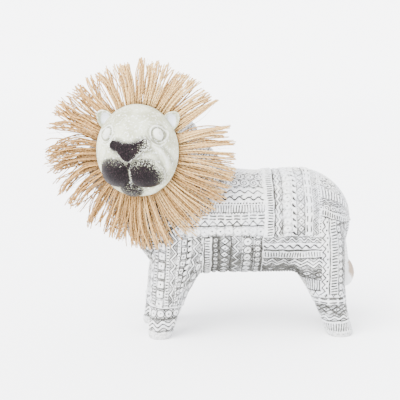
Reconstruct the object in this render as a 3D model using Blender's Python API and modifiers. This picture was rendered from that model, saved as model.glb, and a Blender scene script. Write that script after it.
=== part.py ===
"""A standing resin lion figurine, cast in one piece and carved all over, with a jute fringe for a mane.

Metres, +Z up. The lion walks towards -X and turns its face towards -Y. The origin is on the ground,
under the middle of the whole figure.
"""

import math
import random

import bmesh
import bpy
import numpy as np
from mathutils import Matrix, Vector

# Trunk
TRUNK_REAR_X = 0.1315
TRUNK_FRONT_X = -0.046
TRUNK_REAR_CAP = 0.052
TRUNK_FRONT_CAP = 0.036
TRUNK_MID_Z = 0.0992
TRUNK_HALF_HEIGHT = 0.0472
TRUNK_HALF_WIDTH = 0.0385
SADDLE_DIP = 0.0028
SADDLE_X = 0.047
SADDLE_REACH = 0.020

# Neck, a thick column that leans forwards and up
NECK_LEAN = math.radians(35.1)
NECK_BASE = (-0.0045, 0.0923)
NECK_LENGTH = 0.125
NECK_HALF_LENGTHWAYS = 0.0515
NECK_HALF_WIDTH = 0.0360
NECK_TOP_CAP = 0.041
NECK_BASE_CAP = 0.030

# Legs, each as height, place along the body and half thickness from hip to sole
LEG_SPREAD = 0.0235
HIP_INSET = 0.0010
HIP_CURVE = 1.4
FOOT_RINGS = ((0.0020, 0.95), (-0.0035, 0.72))
FRONT_LEG = (
    (0.084, -0.0150, 0.0270),
    (0.060, -0.0225, 0.0235),
    (0.050, -0.0262, 0.0205),
    (0.040, -0.0293, 0.0178),
    (0.030, -0.0320, 0.0155),
    (0.020, -0.0345, 0.0135),
    (0.010, -0.0364, 0.0120),
)
REAR_LEG = (
    (0.092, 0.0960, 0.0300),
    (0.072, 0.0985, 0.0270),
    (0.060, 0.1020, 0.0238),
    (0.050, 0.1052, 0.0202),
    (0.040, 0.1083, 0.0174),
    (0.030, 0.1112, 0.0153),
    (0.020, 0.1142, 0.0139),
    (0.010, 0.1172, 0.0130),
)
FAR_FRONT_LEG_STEP = -0.0045
FAR_REAR_LEG_STEP = 0.0030

# Tail
TAIL_ROOT = (0.1215, 0.092)
TAIL_HALF_THICKNESS = 0.0058
TUFT_MIDDLE = (0.1285, 0.0505)
TUFT_HALF_THICKNESS = 0.0080
TUFT_HALF_HEIGHT = 0.0128
TAIL_CLEAR = 0.0120

# Face mask, turned a little towards the front of the body
FACE_PLACE = Vector((-0.0552, -0.0440, 0.1671))
FACE_TURN = math.radians(-16.0)
FACE_HALF_WIDTH = 0.0345
FACE_HALF_HEIGHT = 0.0382
FACE_DEPTH = 0.0370
COLLAR_LENGTH = 0.0240
COLLAR_SHARE = 0.90
FEATURES_SIDE = 0.0022
EYE_SIDE = 0.0209
EYE_HEIGHT = 0.0162
EYE_RADIUS = 0.0046
EYE_RISE = 0.0020
LID_RADIUS = 0.0063
LID_HALF_WIDTH = 0.0011
LID_RISE = 0.0015
SOCKET_RADIUS = 0.0100
SOCKET_DROP = 0.0014
NOSE_HALF_WIDTH = 0.0154
NOSE_TOP = 0.0106
NOSE_LENGTH = 0.0162
NOSE_TIP_HALF_WIDTH = 0.0012
NOSE_EDGE = 0.0024
NOSE_RISE = 0.0046
NOSE_FALL = 0.30
BRIDGE_HALF_WIDTH = 0.0095
BRIDGE_TOP = 0.0310
BRIDGE_RISE = 0.0024
PAD_SIDE = 0.0119
PAD_DROP = 0.0142
PAD_RADIUS = 0.0120
PAD_RISE = 0.0058
CHIN_DROP = 0.0289
CHIN_HALF_WIDTH = 0.0106
CHIN_HALF_HEIGHT = 0.0064
CHIN_RISE = 0.0034
FOLD_MIDDLE = (0.0068, 0.0090)
FOLD_RADIUS = 0.0180
FOLD_HALF_WIDTH = 0.0014
FOLD_RISE = 0.0011
EAR_INSET = 0.0045
EAR_BELOW_TOP = 0.0127
EAR_FORWARD = 0.0030
EAR_HALF_WIDTH = 0.0078
EAR_HALF_HEIGHT = 0.0098
EAR_THICKNESS = 0.0046
EAR_TILT = math.radians(28.0)
SCOOP_SHARE = 0.66
SCOOP_FORWARD_SHARE = 0.85

# Mane
MANE_CLEARANCE = 0.0003
SEAT_SHARE = 1.34
MANE_SIT_BACK = 0.0012
MANE_ROOT_THICKNESS = 0.0068
MANE_TIP_THICKNESS = 0.0032
MANE_PAST_FACE = 0.0408
MANE_HANG = 0.0062
MANE_TUFTS = 52
MANE_NOTCH = 0.24
MANE_UNEVEN = 0.025
MANE_RIDGE = 0.0022
MANE_SAG = 0.0080
MANE_SAG_ANGLE = math.radians(-42.0)
MANE_RING_SHARES = (0.0, 0.30, 0.60, 0.82, 1.0)

# Carving
CARVING_DEPTH = 0.0013
CARVING_SLOPE = 0.0012
GROOVE_HALF_WIDTH = 0.0006
ROW_PITCH = 0.0130
ZIGZAG_PITCH = 0.0160
ZIGZAG_SWING_SHARE = 0.22
STRAP_WIDTH = 0.0084
SHOULDER_STRAP_X = 0.0512
HIND_STRAP_X = 0.1085
HIND_STRAP_TOP = 0.0620
HIND_STRAP_FOOT = 0.0380
FLANK_LINE = 0.0752
FLANK_COLUMNS_X = -0.0010
ROWS_ABOVE_FLANK = 5
NECK_CARVING_START = 0.0200
NECK_REAR_X = 0.0200
LEG_CARVING_TOP = 0.058
LEG_ARC = 0.0180
FOOT_GROOVE = 0.0165
FORE_COLUMNS_TOP = 0.0840
FORE_COLUMNS_FOOT = 0.0298

# Mesh fineness
RING_SIDES = 40
BLEND_VOXEL = 0.0032
BLEND_ROUNDS = 9
FINE_VOXEL = 0.0012
LION_TRIANGLES = 6600
FACE_THINNING = 0.985
FACE_REACH_BACK = 0.016
FACE_REACH_SHARE = 1.6
DOME_NEAR = 0.1


def clear_scene():
    for old in list(bpy.data.objects):
        bpy.data.objects.remove(old, do_unlink=True)


def new_collection(name):
    made = bpy.data.collections.new(name)
    bpy.context.scene.collection.children.link(made)
    return made


def new_object(name, mesh, collection):
    obj = bpy.data.objects.new(name, mesh)
    collection.objects.link(obj)
    return obj


def mesh_from(bm, name):
    mesh = bpy.data.meshes.new(name)
    bmesh.ops.recalc_face_normals(bm, faces=bm.faces[:])
    bm.to_mesh(mesh)
    bm.free()
    return mesh


def finished_mesh(obj):
    """The object's mesh with its modifiers applied."""
    bpy.context.view_layer.update()
    graph = bpy.context.evaluated_depsgraph_get()
    return bpy.data.meshes.new_from_object(obj.evaluated_get(graph))


def add_ball(bm, middle, radii, frame=Matrix.Identity(4)):
    """An ellipsoid in a body's bmesh, given in the frame's own axes."""
    size = Matrix.Diagonal((*radii, 1.0))
    place = frame @ Matrix.Translation(middle) @ size
    bmesh.ops.create_uvsphere(bm, u_segments=32, v_segments=20, radius=1.0, matrix=place)


def add_loft(bm, rings):
    """Elliptical rings bridged one to the next and closed at both ends.

    A ring is its middle and its two half axes as vectors.
    """
    previous = None
    for middle, half_a, half_b in rings:
        ring = bmesh.ops.create_circle(bm, segments=RING_SIDES, radius=1.0)["verts"]
        for vert in ring:
            vert.co = middle + half_a * vert.co.x + half_b * vert.co.y
        edges = [e for e in {e for v in ring for e in v.link_edges} if all(v in ring for v in e.verts)]
        if previous is None:
            bmesh.ops.contextual_create(bm, geom=edges)
        else:
            bmesh.ops.bridge_loops(bm, edges=previous + edges)
        previous = edges
    bmesh.ops.contextual_create(bm, geom=previous)


def round_cap(share):
    """How much of its girth a rounded end keeps at a share of the cap's length."""
    return math.sqrt(max(0.0, 1.0 - share * share))


def capped_stations(first, last, first_cap, last_cap, steps):
    """Places along a column with round ends, each with the share of its girth."""
    stations = []
    for i in range(1, steps):
        share = math.cos(0.5 * math.pi * i / steps)
        stations.append((first + first_cap * (1.0 - share), round_cap(share)))
    middle_steps = 8
    for i in range(middle_steps + 1):
        place = first + first_cap + (last - last_cap - first - first_cap) * i / middle_steps
        stations.append((place, 1.0))
    for i in range(1, steps):
        share = math.sin(0.5 * math.pi * i / steps)
        stations.append((last - last_cap * (1.0 - share), round_cap(share)))
    return stations


def back_dip(x):
    """The slight saddle in the back line."""
    return SADDLE_DIP * math.exp(-(((x - SADDLE_X) / SADDLE_REACH) ** 2))


def add_trunk(bm):
    rings = []
    stations = capped_stations(TRUNK_FRONT_X, TRUNK_REAR_X, TRUNK_FRONT_CAP, TRUNK_REAR_CAP, 9)
    for x, share in stations:
        middle = Vector((x, 0.0, TRUNK_MID_Z - 0.5 * back_dip(x)))
        half_a = Vector((0.0, TRUNK_HALF_WIDTH * share, 0.0))
        half_b = Vector((0.0, 0.0, TRUNK_HALF_HEIGHT * share - 0.5 * back_dip(x)))
        rings.append((middle, half_a, half_b))
    add_loft(bm, rings)


def neck_axes():
    along = Vector((-math.sin(NECK_LEAN), 0.0, math.cos(NECK_LEAN)))
    across = Vector((math.cos(NECK_LEAN), 0.0, math.sin(NECK_LEAN)))
    return along, across


def add_neck(bm):
    along, across = neck_axes()
    start = Vector((NECK_BASE[0], 0.0, NECK_BASE[1]))
    rings = []
    for s, share in capped_stations(-NECK_BASE_CAP, NECK_LENGTH, NECK_BASE_CAP, NECK_TOP_CAP, 9):
        half_a = across * (NECK_HALF_LENGTHWAYS * share)
        rings.append((start + along * s, half_a, Vector((0.0, NECK_HALF_WIDTH * share, 0.0))))
    add_loft(bm, rings)


def leg_spread(height, stations):
    """The leg's middle comes in towards the hip so that its outer side stays flush with the flank."""
    top_height, _, top_half = stations[0]
    top_spread = TRUNK_HALF_WIDTH - HIP_INSET - top_half
    share = min(1.0, height / top_height)
    return LEG_SPREAD + (top_spread - LEG_SPREAD) * share ** HIP_CURVE


def add_leg(bm, stations, side, step):
    """A tapering leg that leans in to its foot and runs on a little below the ground."""
    rings = []
    for height, x, half in stations:
        x += step * (1.0 - height / stations[0][0])
        middle = Vector((x, side * leg_spread(height, stations), height))
        rings.append((middle, Vector((half, 0.0, 0.0)), Vector((0.0, half, 0.0))))
    foot_x = 2.0 * stations[-1][1] - stations[-2][1] + step
    for height, share in FOOT_RINGS:
        half = stations[-1][2] * share
        middle = Vector((foot_x, side * LEG_SPREAD, height))
        rings.append((middle, Vector((half, 0.0, 0.0)), Vector((0.0, half, 0.0))))
    add_loft(bm, rings)


def add_tail(bm):
    """The tail lies down the middle of the rump and ends in a smooth oval tuft."""
    rings = []
    root = Vector((TAIL_ROOT[0], 0.0, TAIL_ROOT[1]))
    tuft = Vector((TUFT_MIDDLE[0], 0.0, TUFT_MIDDLE[1]))
    half_a = Vector((TAIL_HALF_THICKNESS, 0.0, 0.0))
    half_b = Vector((0.0, TAIL_HALF_THICKNESS, 0.0))
    for share in (0.0, 0.5, 1.0):
        rings.append((root.lerp(tuft, share), half_a, half_b))
    add_loft(bm, rings)


def blended(collection, bm, voxel, rounds):
    """Overlapping shapes fused into one skin, with their joins smoothed."""
    obj = new_object("blend", mesh_from(bm, "blend"), collection)
    remesh = obj.modifiers.new("Fuse", "REMESH")
    remesh.mode = "VOXEL"
    remesh.voxel_size = voxel
    smooth = obj.modifiers.new("Soften", "SMOOTH")
    smooth.factor = 0.5
    smooth.iterations = rounds
    mesh = finished_mesh(obj)
    bpy.data.objects.remove(obj, do_unlink=True)
    return mesh


def face_frame():
    """Axes of the face: x to its right in the view, y up, z out of the face."""
    sideways = Vector((math.cos(FACE_TURN), math.sin(FACE_TURN), 0.0))
    outwards = Vector((math.sin(FACE_TURN), -math.cos(FACE_TURN), 0.0))
    up = Vector((0.0, 0.0, 1.0))
    turn = Matrix((sideways, up, outwards)).transposed().to_4x4()
    return Matrix.Translation(FACE_PLACE) @ turn


def add_collar(bm, frame):
    rings = []
    for depth in (0.0, -COLLAR_LENGTH):
        middle = frame @ Vector((0.0, 0.0, depth))
        half_a = frame.to_3x3() @ Vector((FACE_HALF_WIDTH * COLLAR_SHARE, 0.0, 0.0))
        half_b = frame.to_3x3() @ Vector((0.0, FACE_HALF_HEIGHT * COLLAR_SHARE, 0.0))
        rings.append((middle, half_a, half_b))
    add_loft(bm, rings)


def add_face(bm, frame):
    """The dome of the face; its rear half is only a thin rim, so that the mane can sit behind it."""
    half = bmesh.new()
    add_ball(half, (0.0, 0.0, 0.0), (FACE_HALF_WIDTH, FACE_HALF_HEIGHT, FACE_DEPTH))
    geom = half.verts[:] + half.edges[:] + half.faces[:]
    cut = bmesh.ops.bisect_plane(half, geom=geom, plane_no=(0.0, 0.0, -1.0), clear_outer=True)
    rim = [e for e in cut["geom_cut"] if isinstance(e, bmesh.types.BMEdge)]
    bmesh.ops.contextual_create(half, geom=rim)
    half.transform(frame)
    merge_into(bm, half)


def merge_into(bm, other):
    """Adds another bmesh to this one."""
    mesh = mesh_from(other, "merged")
    bm.from_mesh(mesh)
    bpy.data.meshes.remove(mesh)


def soft_step(value, low, high):
    """0 below low, 1 above high and a smooth ramp between them."""
    share = np.clip((value - low) / (high - low), 0.0, 1.0)
    return share * share * (3.0 - 2.0 * share)


def dome(distance, radius):
    """The profile of a round cap of unit height."""
    return np.sqrt(np.clip(1.0 - (distance / radius) ** 2, 0.0, 1.0))


def eye_relief(across, height):
    """An eyeball in a shallow socket with a lid round it; across is measured from between the eyes."""
    away = np.hypot(np.abs(across) - EYE_SIDE, height - EYE_HEIGHT)
    socket = -SOCKET_DROP * np.exp(-((away / SOCKET_RADIUS) ** 4))
    lids = LID_RISE * np.exp(-(((away - LID_RADIUS) / LID_HALF_WIDTH) ** 2))
    return socket + lids + EYE_RISE * dome(away, EYE_RADIUS)


def nose_relief(across, height):
    """A broad triangle, point down, with a bridge that fades into the brow."""
    down = (NOSE_TOP - height) / NOSE_LENGTH
    half_width = NOSE_HALF_WIDTH * np.clip(1.0 - down, 0.0, 1.0) + NOSE_TIP_HALF_WIDTH
    inside = soft_step(half_width - np.abs(across), 0.0, NOSE_EDGE)
    inside = inside * soft_step(NOSE_TOP - height, -0.5 * NOSE_EDGE, 0.5 * NOSE_EDGE)
    inside = inside * soft_step(height - NOSE_TOP + NOSE_LENGTH, -NOSE_EDGE, 0.0)
    nose = NOSE_RISE * inside * (1.0 - NOSE_FALL * np.clip(down, 0.0, 1.0))
    along = soft_step(height, 0.5 * NOSE_TOP, NOSE_TOP) * (1.0 - soft_step(height, NOSE_TOP, BRIDGE_TOP))
    bridge = BRIDGE_RISE * along * np.exp(-((across / BRIDGE_HALF_WIDTH) ** 2))
    return np.maximum(nose, bridge)


def muzzle_relief(across, height):
    pads = PAD_RISE * dome(np.hypot(np.abs(across) - PAD_SIDE, height + PAD_DROP), PAD_RADIUS)
    chin_away = np.hypot(across / CHIN_HALF_WIDTH, (height + CHIN_DROP) / CHIN_HALF_HEIGHT)
    return np.maximum(pads, CHIN_RISE * dome(chin_away, 1.0))


def fold_relief(across, height):
    """The cheek fold, an arc round the muzzle from the inner corner of the eye."""
    away = np.hypot(np.abs(across) - FOLD_MIDDLE[0], height + FOLD_MIDDLE[1]) - FOLD_RADIUS
    outer = soft_step(np.abs(across), PAD_SIDE, PAD_SIDE + 0.5 * PAD_RADIUS)
    return FOLD_RISE * np.exp(-((away / FOLD_HALF_WIDTH) ** 2)) * outer


def face_relief(side, height):
    """How far the features stand out of the face's bare dome."""
    across = side - FEATURES_SIDE
    relief = np.maximum(nose_relief(across, height), muzzle_relief(across, height))
    return relief + eye_relief(across, height) + fold_relief(across, height)


def ear_frame(frame, side):
    away = (side * (FACE_HALF_WIDTH - EAR_INSET), FACE_HALF_HEIGHT - EAR_BELOW_TOP, EAR_FORWARD)
    place = Matrix.Translation(away)
    return frame @ place @ Matrix.Rotation(-side * EAR_TILT, 4, "Z")


def add_ear(bm, frame, side, collection, cutters):
    """A round leaf of an ear with a scooped front."""
    leaf = bmesh.new()
    where = ear_frame(frame, side)
    add_ball(leaf, (0.0, 0.0, 0.0), (EAR_HALF_WIDTH, EAR_HALF_HEIGHT, EAR_THICKNESS), where)
    scoop = bmesh.new()
    radii = (SCOOP_SHARE * EAR_HALF_WIDTH, SCOOP_SHARE * EAR_HALF_HEIGHT, EAR_THICKNESS)
    add_ball(scoop, (0.0, 0.0, SCOOP_FORWARD_SHARE * EAR_THICKNESS), radii, where)
    ear = new_object("ear", mesh_from(leaf, "ear"), collection)
    hollow = new_object("ear scoop", mesh_from(scoop, "ear scoop"), cutters)
    cut = ear.modifiers.new("Scoop", "BOOLEAN")
    cut.operation = "DIFFERENCE"
    cut.object = hollow
    mesh = finished_mesh(ear)
    bm.from_mesh(mesh)
    bpy.data.meshes.remove(mesh)
    for used in (ear, hollow):
        bpy.data.objects.remove(used, do_unlink=True)


def bump(distance, half_width):
    """1 in the middle of a strap or groove, falling to 0 just past its edge."""
    return max(0.0, min(1.0, (half_width + CARVING_SLOPE - abs(distance)) / CARVING_SLOPE))


def wave(place, pitch):
    """A zigzag between -1 and 1."""
    return 4.0 * abs((place / pitch) % 1.0 - 0.5) - 1.0


def zigzag_row(place, across, pitch, swing):
    """A sunk zigzag line along a row, with across measured from the row's middle."""
    return -bump(across - swing * wave(place, pitch), GROOVE_HALF_WIDTH)


def rows(place, across, first, count):
    """Straight grooves with a zigzag line between each two."""
    low = 0.0
    for i in range(count):
        low = min(low, -bump(across - first - i * ROW_PITCH, GROOVE_HALF_WIDTH))
        if i < count - 1:
            middle = first + (i + 0.5) * ROW_PITCH
            swing = ZIGZAG_SWING_SHARE * ROW_PITCH
            low = min(low, zigzag_row(place, across - middle, ZIGZAG_PITCH, swing))
    return low


def strap(place, first):
    """How far a strap that starts at a place stands up."""
    half = 0.5 * STRAP_WIDTH - CARVING_SLOPE
    return bump(place - first - 0.5 * STRAP_WIDTH, half)


def trunk_carving(x, girth):
    """Blocks of rows and columns, with a strap down the middle and one down each haunch."""
    haunch = strap(x, HIND_STRAP_X)
    if haunch > 0.0 and girth > HIND_STRAP_TOP:
        return haunch
    if girth > FLANK_LINE:
        if x < SHOULDER_STRAP_X:
            return rows(girth, x, FLANK_COLUMNS_X, ROWS_ABOVE_FLANK)
        return rows(x, girth, FLANK_LINE, ROWS_ABOVE_FLANK)
    if x < SHOULDER_STRAP_X:
        return rows(x, girth, FLANK_LINE - ROWS_ABOVE_FLANK * ROW_PITCH, ROWS_ABOVE_FLANK + 1)
    shoulder = strap(x, SHOULDER_STRAP_X)
    first = SHOULDER_STRAP_X + STRAP_WIDTH + CARVING_SLOPE
    return shoulder if shoulder > 0.0 else rows(girth, x, first, ROWS_ABOVE_FLANK)


def leg_carving(point, stations):
    """Rows round a leg; the fore legs have columns above, and a strap runs on down each hind leg."""
    middle = next(x for height, x, _ in stations if height < HIND_STRAP_FOOT)
    outwards = abs(point.y) - LEG_SPREAD
    around = LEG_ARC * math.atan2(point.x - middle, outwards)
    if stations is REAR_LEG:
        haunch = strap(point.x, HIND_STRAP_X)
        if haunch > 0.0 and outwards > 0.0 and point.z > HIND_STRAP_FOOT:
            return haunch
    elif point.z > FORE_COLUMNS_FOOT:
        return rows(point.z, around, -2.5 * ROW_PITCH, ROWS_ABOVE_FLANK + 1)
    return rows(around, point.z, FOOT_GROOVE, ROWS_ABOVE_FLANK)


def neck_carving(along, around):
    count = math.ceil(NECK_LENGTH / ROW_PITCH)
    return rows(around, along, NECK_CARVING_START, count)


def carving_at(point):
    """The height of the carving, as a share of its depth, at a point of the blended skin."""
    along, across = neck_axes()
    offset = point - Vector((NECK_BASE[0], 0.0, NECK_BASE[1]))
    up_neck = offset.dot(along)
    if point.x < FLANK_COLUMNS_X and point.z < FORE_COLUMNS_TOP:
        return leg_carving(point, FRONT_LEG)
    if up_neck > NECK_CARVING_START and point.x < NECK_REAR_X:
        turn = math.atan2(point.y / NECK_HALF_WIDTH, offset.dot(across) / NECK_HALF_LENGTHWAYS)
        return neck_carving(up_neck, turn * 0.5 * (NECK_HALF_WIDTH + NECK_HALF_LENGTHWAYS))
    if point.z < LEG_CARVING_TOP and point.x > SHOULDER_STRAP_X + STRAP_WIDTH:
        return leg_carving(point, REAR_LEG)
    angle = abs(math.atan2(point.y / TRUNK_HALF_WIDTH, (point.z - TRUNK_MID_Z) / TRUNK_HALF_HEIGHT))
    return trunk_carving(point.x, angle * 0.5 * (TRUNK_HALF_WIDTH + TRUNK_HALF_HEIGHT))


def on_face(point, frame_inverse):
    local = frame_inverse @ point
    share = math.hypot(local.x / FACE_HALF_WIDTH, local.y / FACE_HALF_HEIGHT)
    return local.z > -FACE_REACH_BACK and share < FACE_REACH_SHARE


def on_tail(point):
    behind = point.x > TUFT_MIDDLE[0] - TUFT_HALF_THICKNESS
    return behind and abs(point.y) < TAIL_CLEAR and point.z < TAIL_ROOT[1]


def face_move(point, inverse, turn):
    """The way a point of the bare face goes for its features, out along the dome's own normal."""
    local = inverse @ point
    if local.z < 0.0:
        return Vector()
    radii = (FACE_HALF_WIDTH, FACE_HALF_HEIGHT, FACE_DEPTH)
    shares = [local[i] / radii[i] for i in range(3)]
    if abs(math.hypot(*shares) - 1.0) > DOME_NEAR:
        return Vector()
    outwards = Vector([shares[i] / radii[i] for i in range(3)]).normalized()
    return turn @ outwards * float(face_relief(local.x, local.y))


def carve(bm, frame):
    """Raises the face's features and cuts the carving of the body into the fused skin."""
    inverse, turn = frame.inverted(), frame.to_3x3()
    moves = []
    for vert in bm.verts:
        if on_face(vert.co, inverse):
            moves.append((vert, face_move(vert.co, inverse, turn)))
        elif not on_tail(vert.co):
            moves.append((vert, vert.normal.copy() * (CARVING_DEPTH * carving_at(vert.co))))
    for vert, move in moves:
        vert.co += move


def cut_soles(bm):
    """Flat soles on the ground."""
    geom = bm.verts[:] + bm.edges[:] + bm.faces[:]
    cut = bmesh.ops.bisect_plane(bm, geom=geom, dist=1e-6, plane_no=(0.0, 0.0, -1.0), clear_outer=True)
    edges = [e for e in cut["geom_cut"] if isinstance(e, bmesh.types.BMEdge)]
    bmesh.ops.holes_fill(bm, edges=edges, sides=0)


def model_lion(collection, cutters):
    body = bmesh.new()
    add_trunk(body)
    add_neck(body)
    for stations, step in ((FRONT_LEG, FAR_FRONT_LEG_STEP), (REAR_LEG, FAR_REAR_LEG_STEP)):
        add_leg(body, stations, -1, 0.0)
        add_leg(body, stations, 1, step)
    add_tail(body)
    soft_body = blended(cutters, body, BLEND_VOXEL, BLEND_ROUNDS)

    frame = face_frame()
    whole = bmesh.new()
    whole.from_mesh(soft_body)
    tuft = (TUFT_HALF_THICKNESS, TUFT_HALF_THICKNESS, TUFT_HALF_HEIGHT)
    add_ball(whole, (TUFT_MIDDLE[0], 0.0, TUFT_MIDDLE[1]), tuft)
    add_collar(whole, frame)
    add_face(whole, frame)
    for side in (-1, 1):
        add_ear(whole, frame, side, cutters, cutters)
    skin = blended(cutters, whole, FINE_VOXEL, 1)

    carved = bmesh.new()
    carved.from_mesh(skin)
    carve(carved, frame)
    lion = new_object("lion", mesh_from(carved, "lion"), collection)
    thin = lion.modifiers.new("Fewer faces", "DECIMATE")
    thin.ratio = min(1.0, LION_TRIANGLES / (2.0 * len(lion.data.polygons)))
    thin.use_collapse_triangulate = True
    thin.vertex_group = free_to_thin(lion, frame)
    fewer = finished_mesh(lion)
    lion.modifiers.clear()
    standing = bmesh.new()
    standing.from_mesh(fewer)
    cut_soles(standing)
    lion.data = mesh_from(standing, "lion")
    cut = lion.modifiers.new("Mane seat", "BOOLEAN")
    cut.operation = "DIFFERENCE"
    cut.object = model_mane_seat(frame, cutters)
    lion.data.shade_smooth()
    return lion


def free_to_thin(lion, frame):
    """A vertex group that lets the body lose more faces than the face, which has the finest forms."""
    group = lion.vertex_groups.new(name="free to thin")
    inverse = frame.inverted()
    for vert in lion.data.vertices:
        weight = FACE_THINNING if on_face(vert.co, inverse) else 1.0
        group.add([vert.index], weight, "REPLACE")
    return group.name


def model_mane_seat(frame, cutters):
    """The cutter of the groove behind the face that the mane is glued into."""
    bm = bmesh.new()
    front = -MANE_SIT_BACK + MANE_CLEARANCE
    back = -MANE_SIT_BACK - MANE_ROOT_THICKNESS - MANE_CLEARANCE
    corners = ((COLLAR_SHARE, front), (SEAT_SHARE, front), (SEAT_SHARE, back), (COLLAR_SHARE, back))
    loop = [bm.verts.new((share, 0.0, depth)) for share, depth in corners]
    for first, second in zip(loop, loop[1:] + loop[:1]):
        bm.edges.new((first, second))
    bmesh.ops.spin(bm, geom=bm.verts[:] + bm.edges[:], cent=(0, 0, 0), axis=(0, 0, 1),
                   angle=2.0 * math.pi, steps=2 * MANE_TUFTS, use_merge=True)
    bmesh.ops.scale(bm, verts=bm.verts[:], vec=(FACE_HALF_WIDTH, FACE_HALF_HEIGHT, 1.0))
    bm.transform(frame)
    seat = new_object("mane seat", mesh_from(bm, "mane seat"), cutters)
    seat.hide_render = True
    seat.display_type = "WIRE"
    return seat


def mane_profile():
    """The ring's section as shares of the way out and from front to back."""
    front = [(share, 1.0) for share in MANE_RING_SHARES]
    back = [(share, 0.0) for share in reversed(MANE_RING_SHARES)]
    return front + back


def model_mane(collection):
    """A closed section spun round the face's axis and drawn out into tufts."""
    frame = face_frame()
    bm = bmesh.new()
    loop = [bm.verts.new((1.0 + share, 0.0, side)) for share, side in mane_profile()]
    for first, second in zip(loop, loop[1:] + loop[:1]):
        bm.edges.new((first, second))
    bmesh.ops.spin(bm, geom=bm.verts[:] + bm.edges[:], cent=(0, 0, 0), axis=(0, 0, 1),
                   angle=2.0 * math.pi, steps=2 * MANE_TUFTS, use_merge=True)
    chance = random.Random(5)
    reaches = [1.0 + chance.uniform(-MANE_UNEVEN, MANE_UNEVEN) for _ in range(2 * MANE_TUFTS)]
    for vert in bm.verts:
        share = max(0.0, math.hypot(vert.co.x, vert.co.y) - 1.0)
        angle = math.atan2(vert.co.y, vert.co.x)
        vert.co = mane_point(share, angle, vert.co.z, reaches)
    mane = new_object("mane", mesh_from(bm, "mane"), collection)
    mane.data.transform(frame)
    mane.data.shade_smooth()
    return mane


def mane_point(share, angle, front_share, reaches):
    """Where a point of the spun ring goes, in the face's axes."""
    column = round(angle / (2.0 * math.pi) * 2 * MANE_TUFTS) % (2 * MANE_TUFTS)
    valley = column % 2
    ridge = MANE_RIDGE * valley * min(1.0, share / MANE_RING_SHARES[1])
    around = Vector((math.cos(angle), math.sin(angle), 0.0))
    collar = COLLAR_SHARE + MANE_CLEARANCE / FACE_HALF_WIDTH
    root = Vector((around.x * FACE_HALF_WIDTH, around.y * FACE_HALF_HEIGHT, 0.0)) * collar
    reach = FACE_HALF_HEIGHT + MANE_PAST_FACE - MANE_HANG * around.y
    reach *= reaches[column] * (1.0 - MANE_NOTCH * valley)
    point = root.lerp(around * reach, share)
    thickness = MANE_ROOT_THICKNESS + (MANE_TIP_THICKNESS - MANE_ROOT_THICKNESS) * share
    sag = MANE_SAG * share * share * max(0.0, math.cos(angle - MANE_SAG_ANGLE))
    point.z = -MANE_SIT_BACK - ridge - sag
    if front_share < 0.5:
        point.z -= thickness - 2.0 * ridge
    return point


def resin_material():
    return plain_material("carved resin", (0.76, 0.77, 0.76, 1.0), 0.72)


def jute_material():
    return plain_material("jute", (0.70, 0.52, 0.34, 1.0), 0.90)


def plain_material(name, colour, roughness):
    material = bpy.data.materials.new(name)
    material.use_nodes = True
    shader = material.node_tree.nodes["Principled BSDF"]
    shader.inputs["Base Color"].default_value = colour
    shader.inputs["Roughness"].default_value = roughness
    shader.inputs["Metallic"].default_value = 0.0
    return material


def stand_on_origin(objects, cutters):
    """Moves the figure and its cutters so that the origin is under its middle."""
    corners = [vert.co for obj in objects for vert in obj.data.vertices]
    low = [min(c[i] for c in corners) for i in range(3)]
    high = [max(c[i] for c in corners) for i in range(3)]
    shift = Matrix.Translation((-0.5 * (low[0] + high[0]), -0.5 * (low[1] + high[1]), -low[2]))
    for obj in (*objects, *cutters.objects):
        obj.data.transform(shift)


def main():
    clear_scene()
    parts = new_collection("lion figurine")
    cutters = new_collection("cutters")
    lion = model_lion(parts, cutters)
    mane = model_mane(parts)
    lion.data.materials.append(resin_material())
    mane.data.materials.append(jute_material())
    stand_on_origin((lion, mane), cutters)


main()
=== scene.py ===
"""The looks of the carved resin lion: whitewashed carving, a painted face and a mane of jute twine ends.

Shapes are worked out in the figure's own frame, where the trunk's middle plane is y = 0, and are moved at
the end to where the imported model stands. The carving, the face and most of the mane are laid out in
millimetres, and the rest is in metres.
"""

import collections
import math
import random

import bmesh
import bpy
import numpy as np
from mathutils import Matrix, Vector


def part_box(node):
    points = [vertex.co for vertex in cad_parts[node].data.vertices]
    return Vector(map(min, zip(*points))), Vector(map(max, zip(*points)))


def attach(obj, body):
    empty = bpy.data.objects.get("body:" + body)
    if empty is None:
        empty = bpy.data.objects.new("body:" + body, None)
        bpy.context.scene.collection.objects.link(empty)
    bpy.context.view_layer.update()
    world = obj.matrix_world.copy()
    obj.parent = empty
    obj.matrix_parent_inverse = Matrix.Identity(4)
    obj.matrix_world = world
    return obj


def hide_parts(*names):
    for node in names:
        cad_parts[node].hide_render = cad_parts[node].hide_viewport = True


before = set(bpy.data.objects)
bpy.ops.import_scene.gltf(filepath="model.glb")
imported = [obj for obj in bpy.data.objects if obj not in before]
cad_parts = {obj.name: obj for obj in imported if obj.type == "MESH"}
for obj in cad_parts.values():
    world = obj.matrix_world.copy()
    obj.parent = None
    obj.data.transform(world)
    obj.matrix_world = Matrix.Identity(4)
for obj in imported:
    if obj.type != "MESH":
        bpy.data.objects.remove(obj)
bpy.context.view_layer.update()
LION_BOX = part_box("lion")

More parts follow.
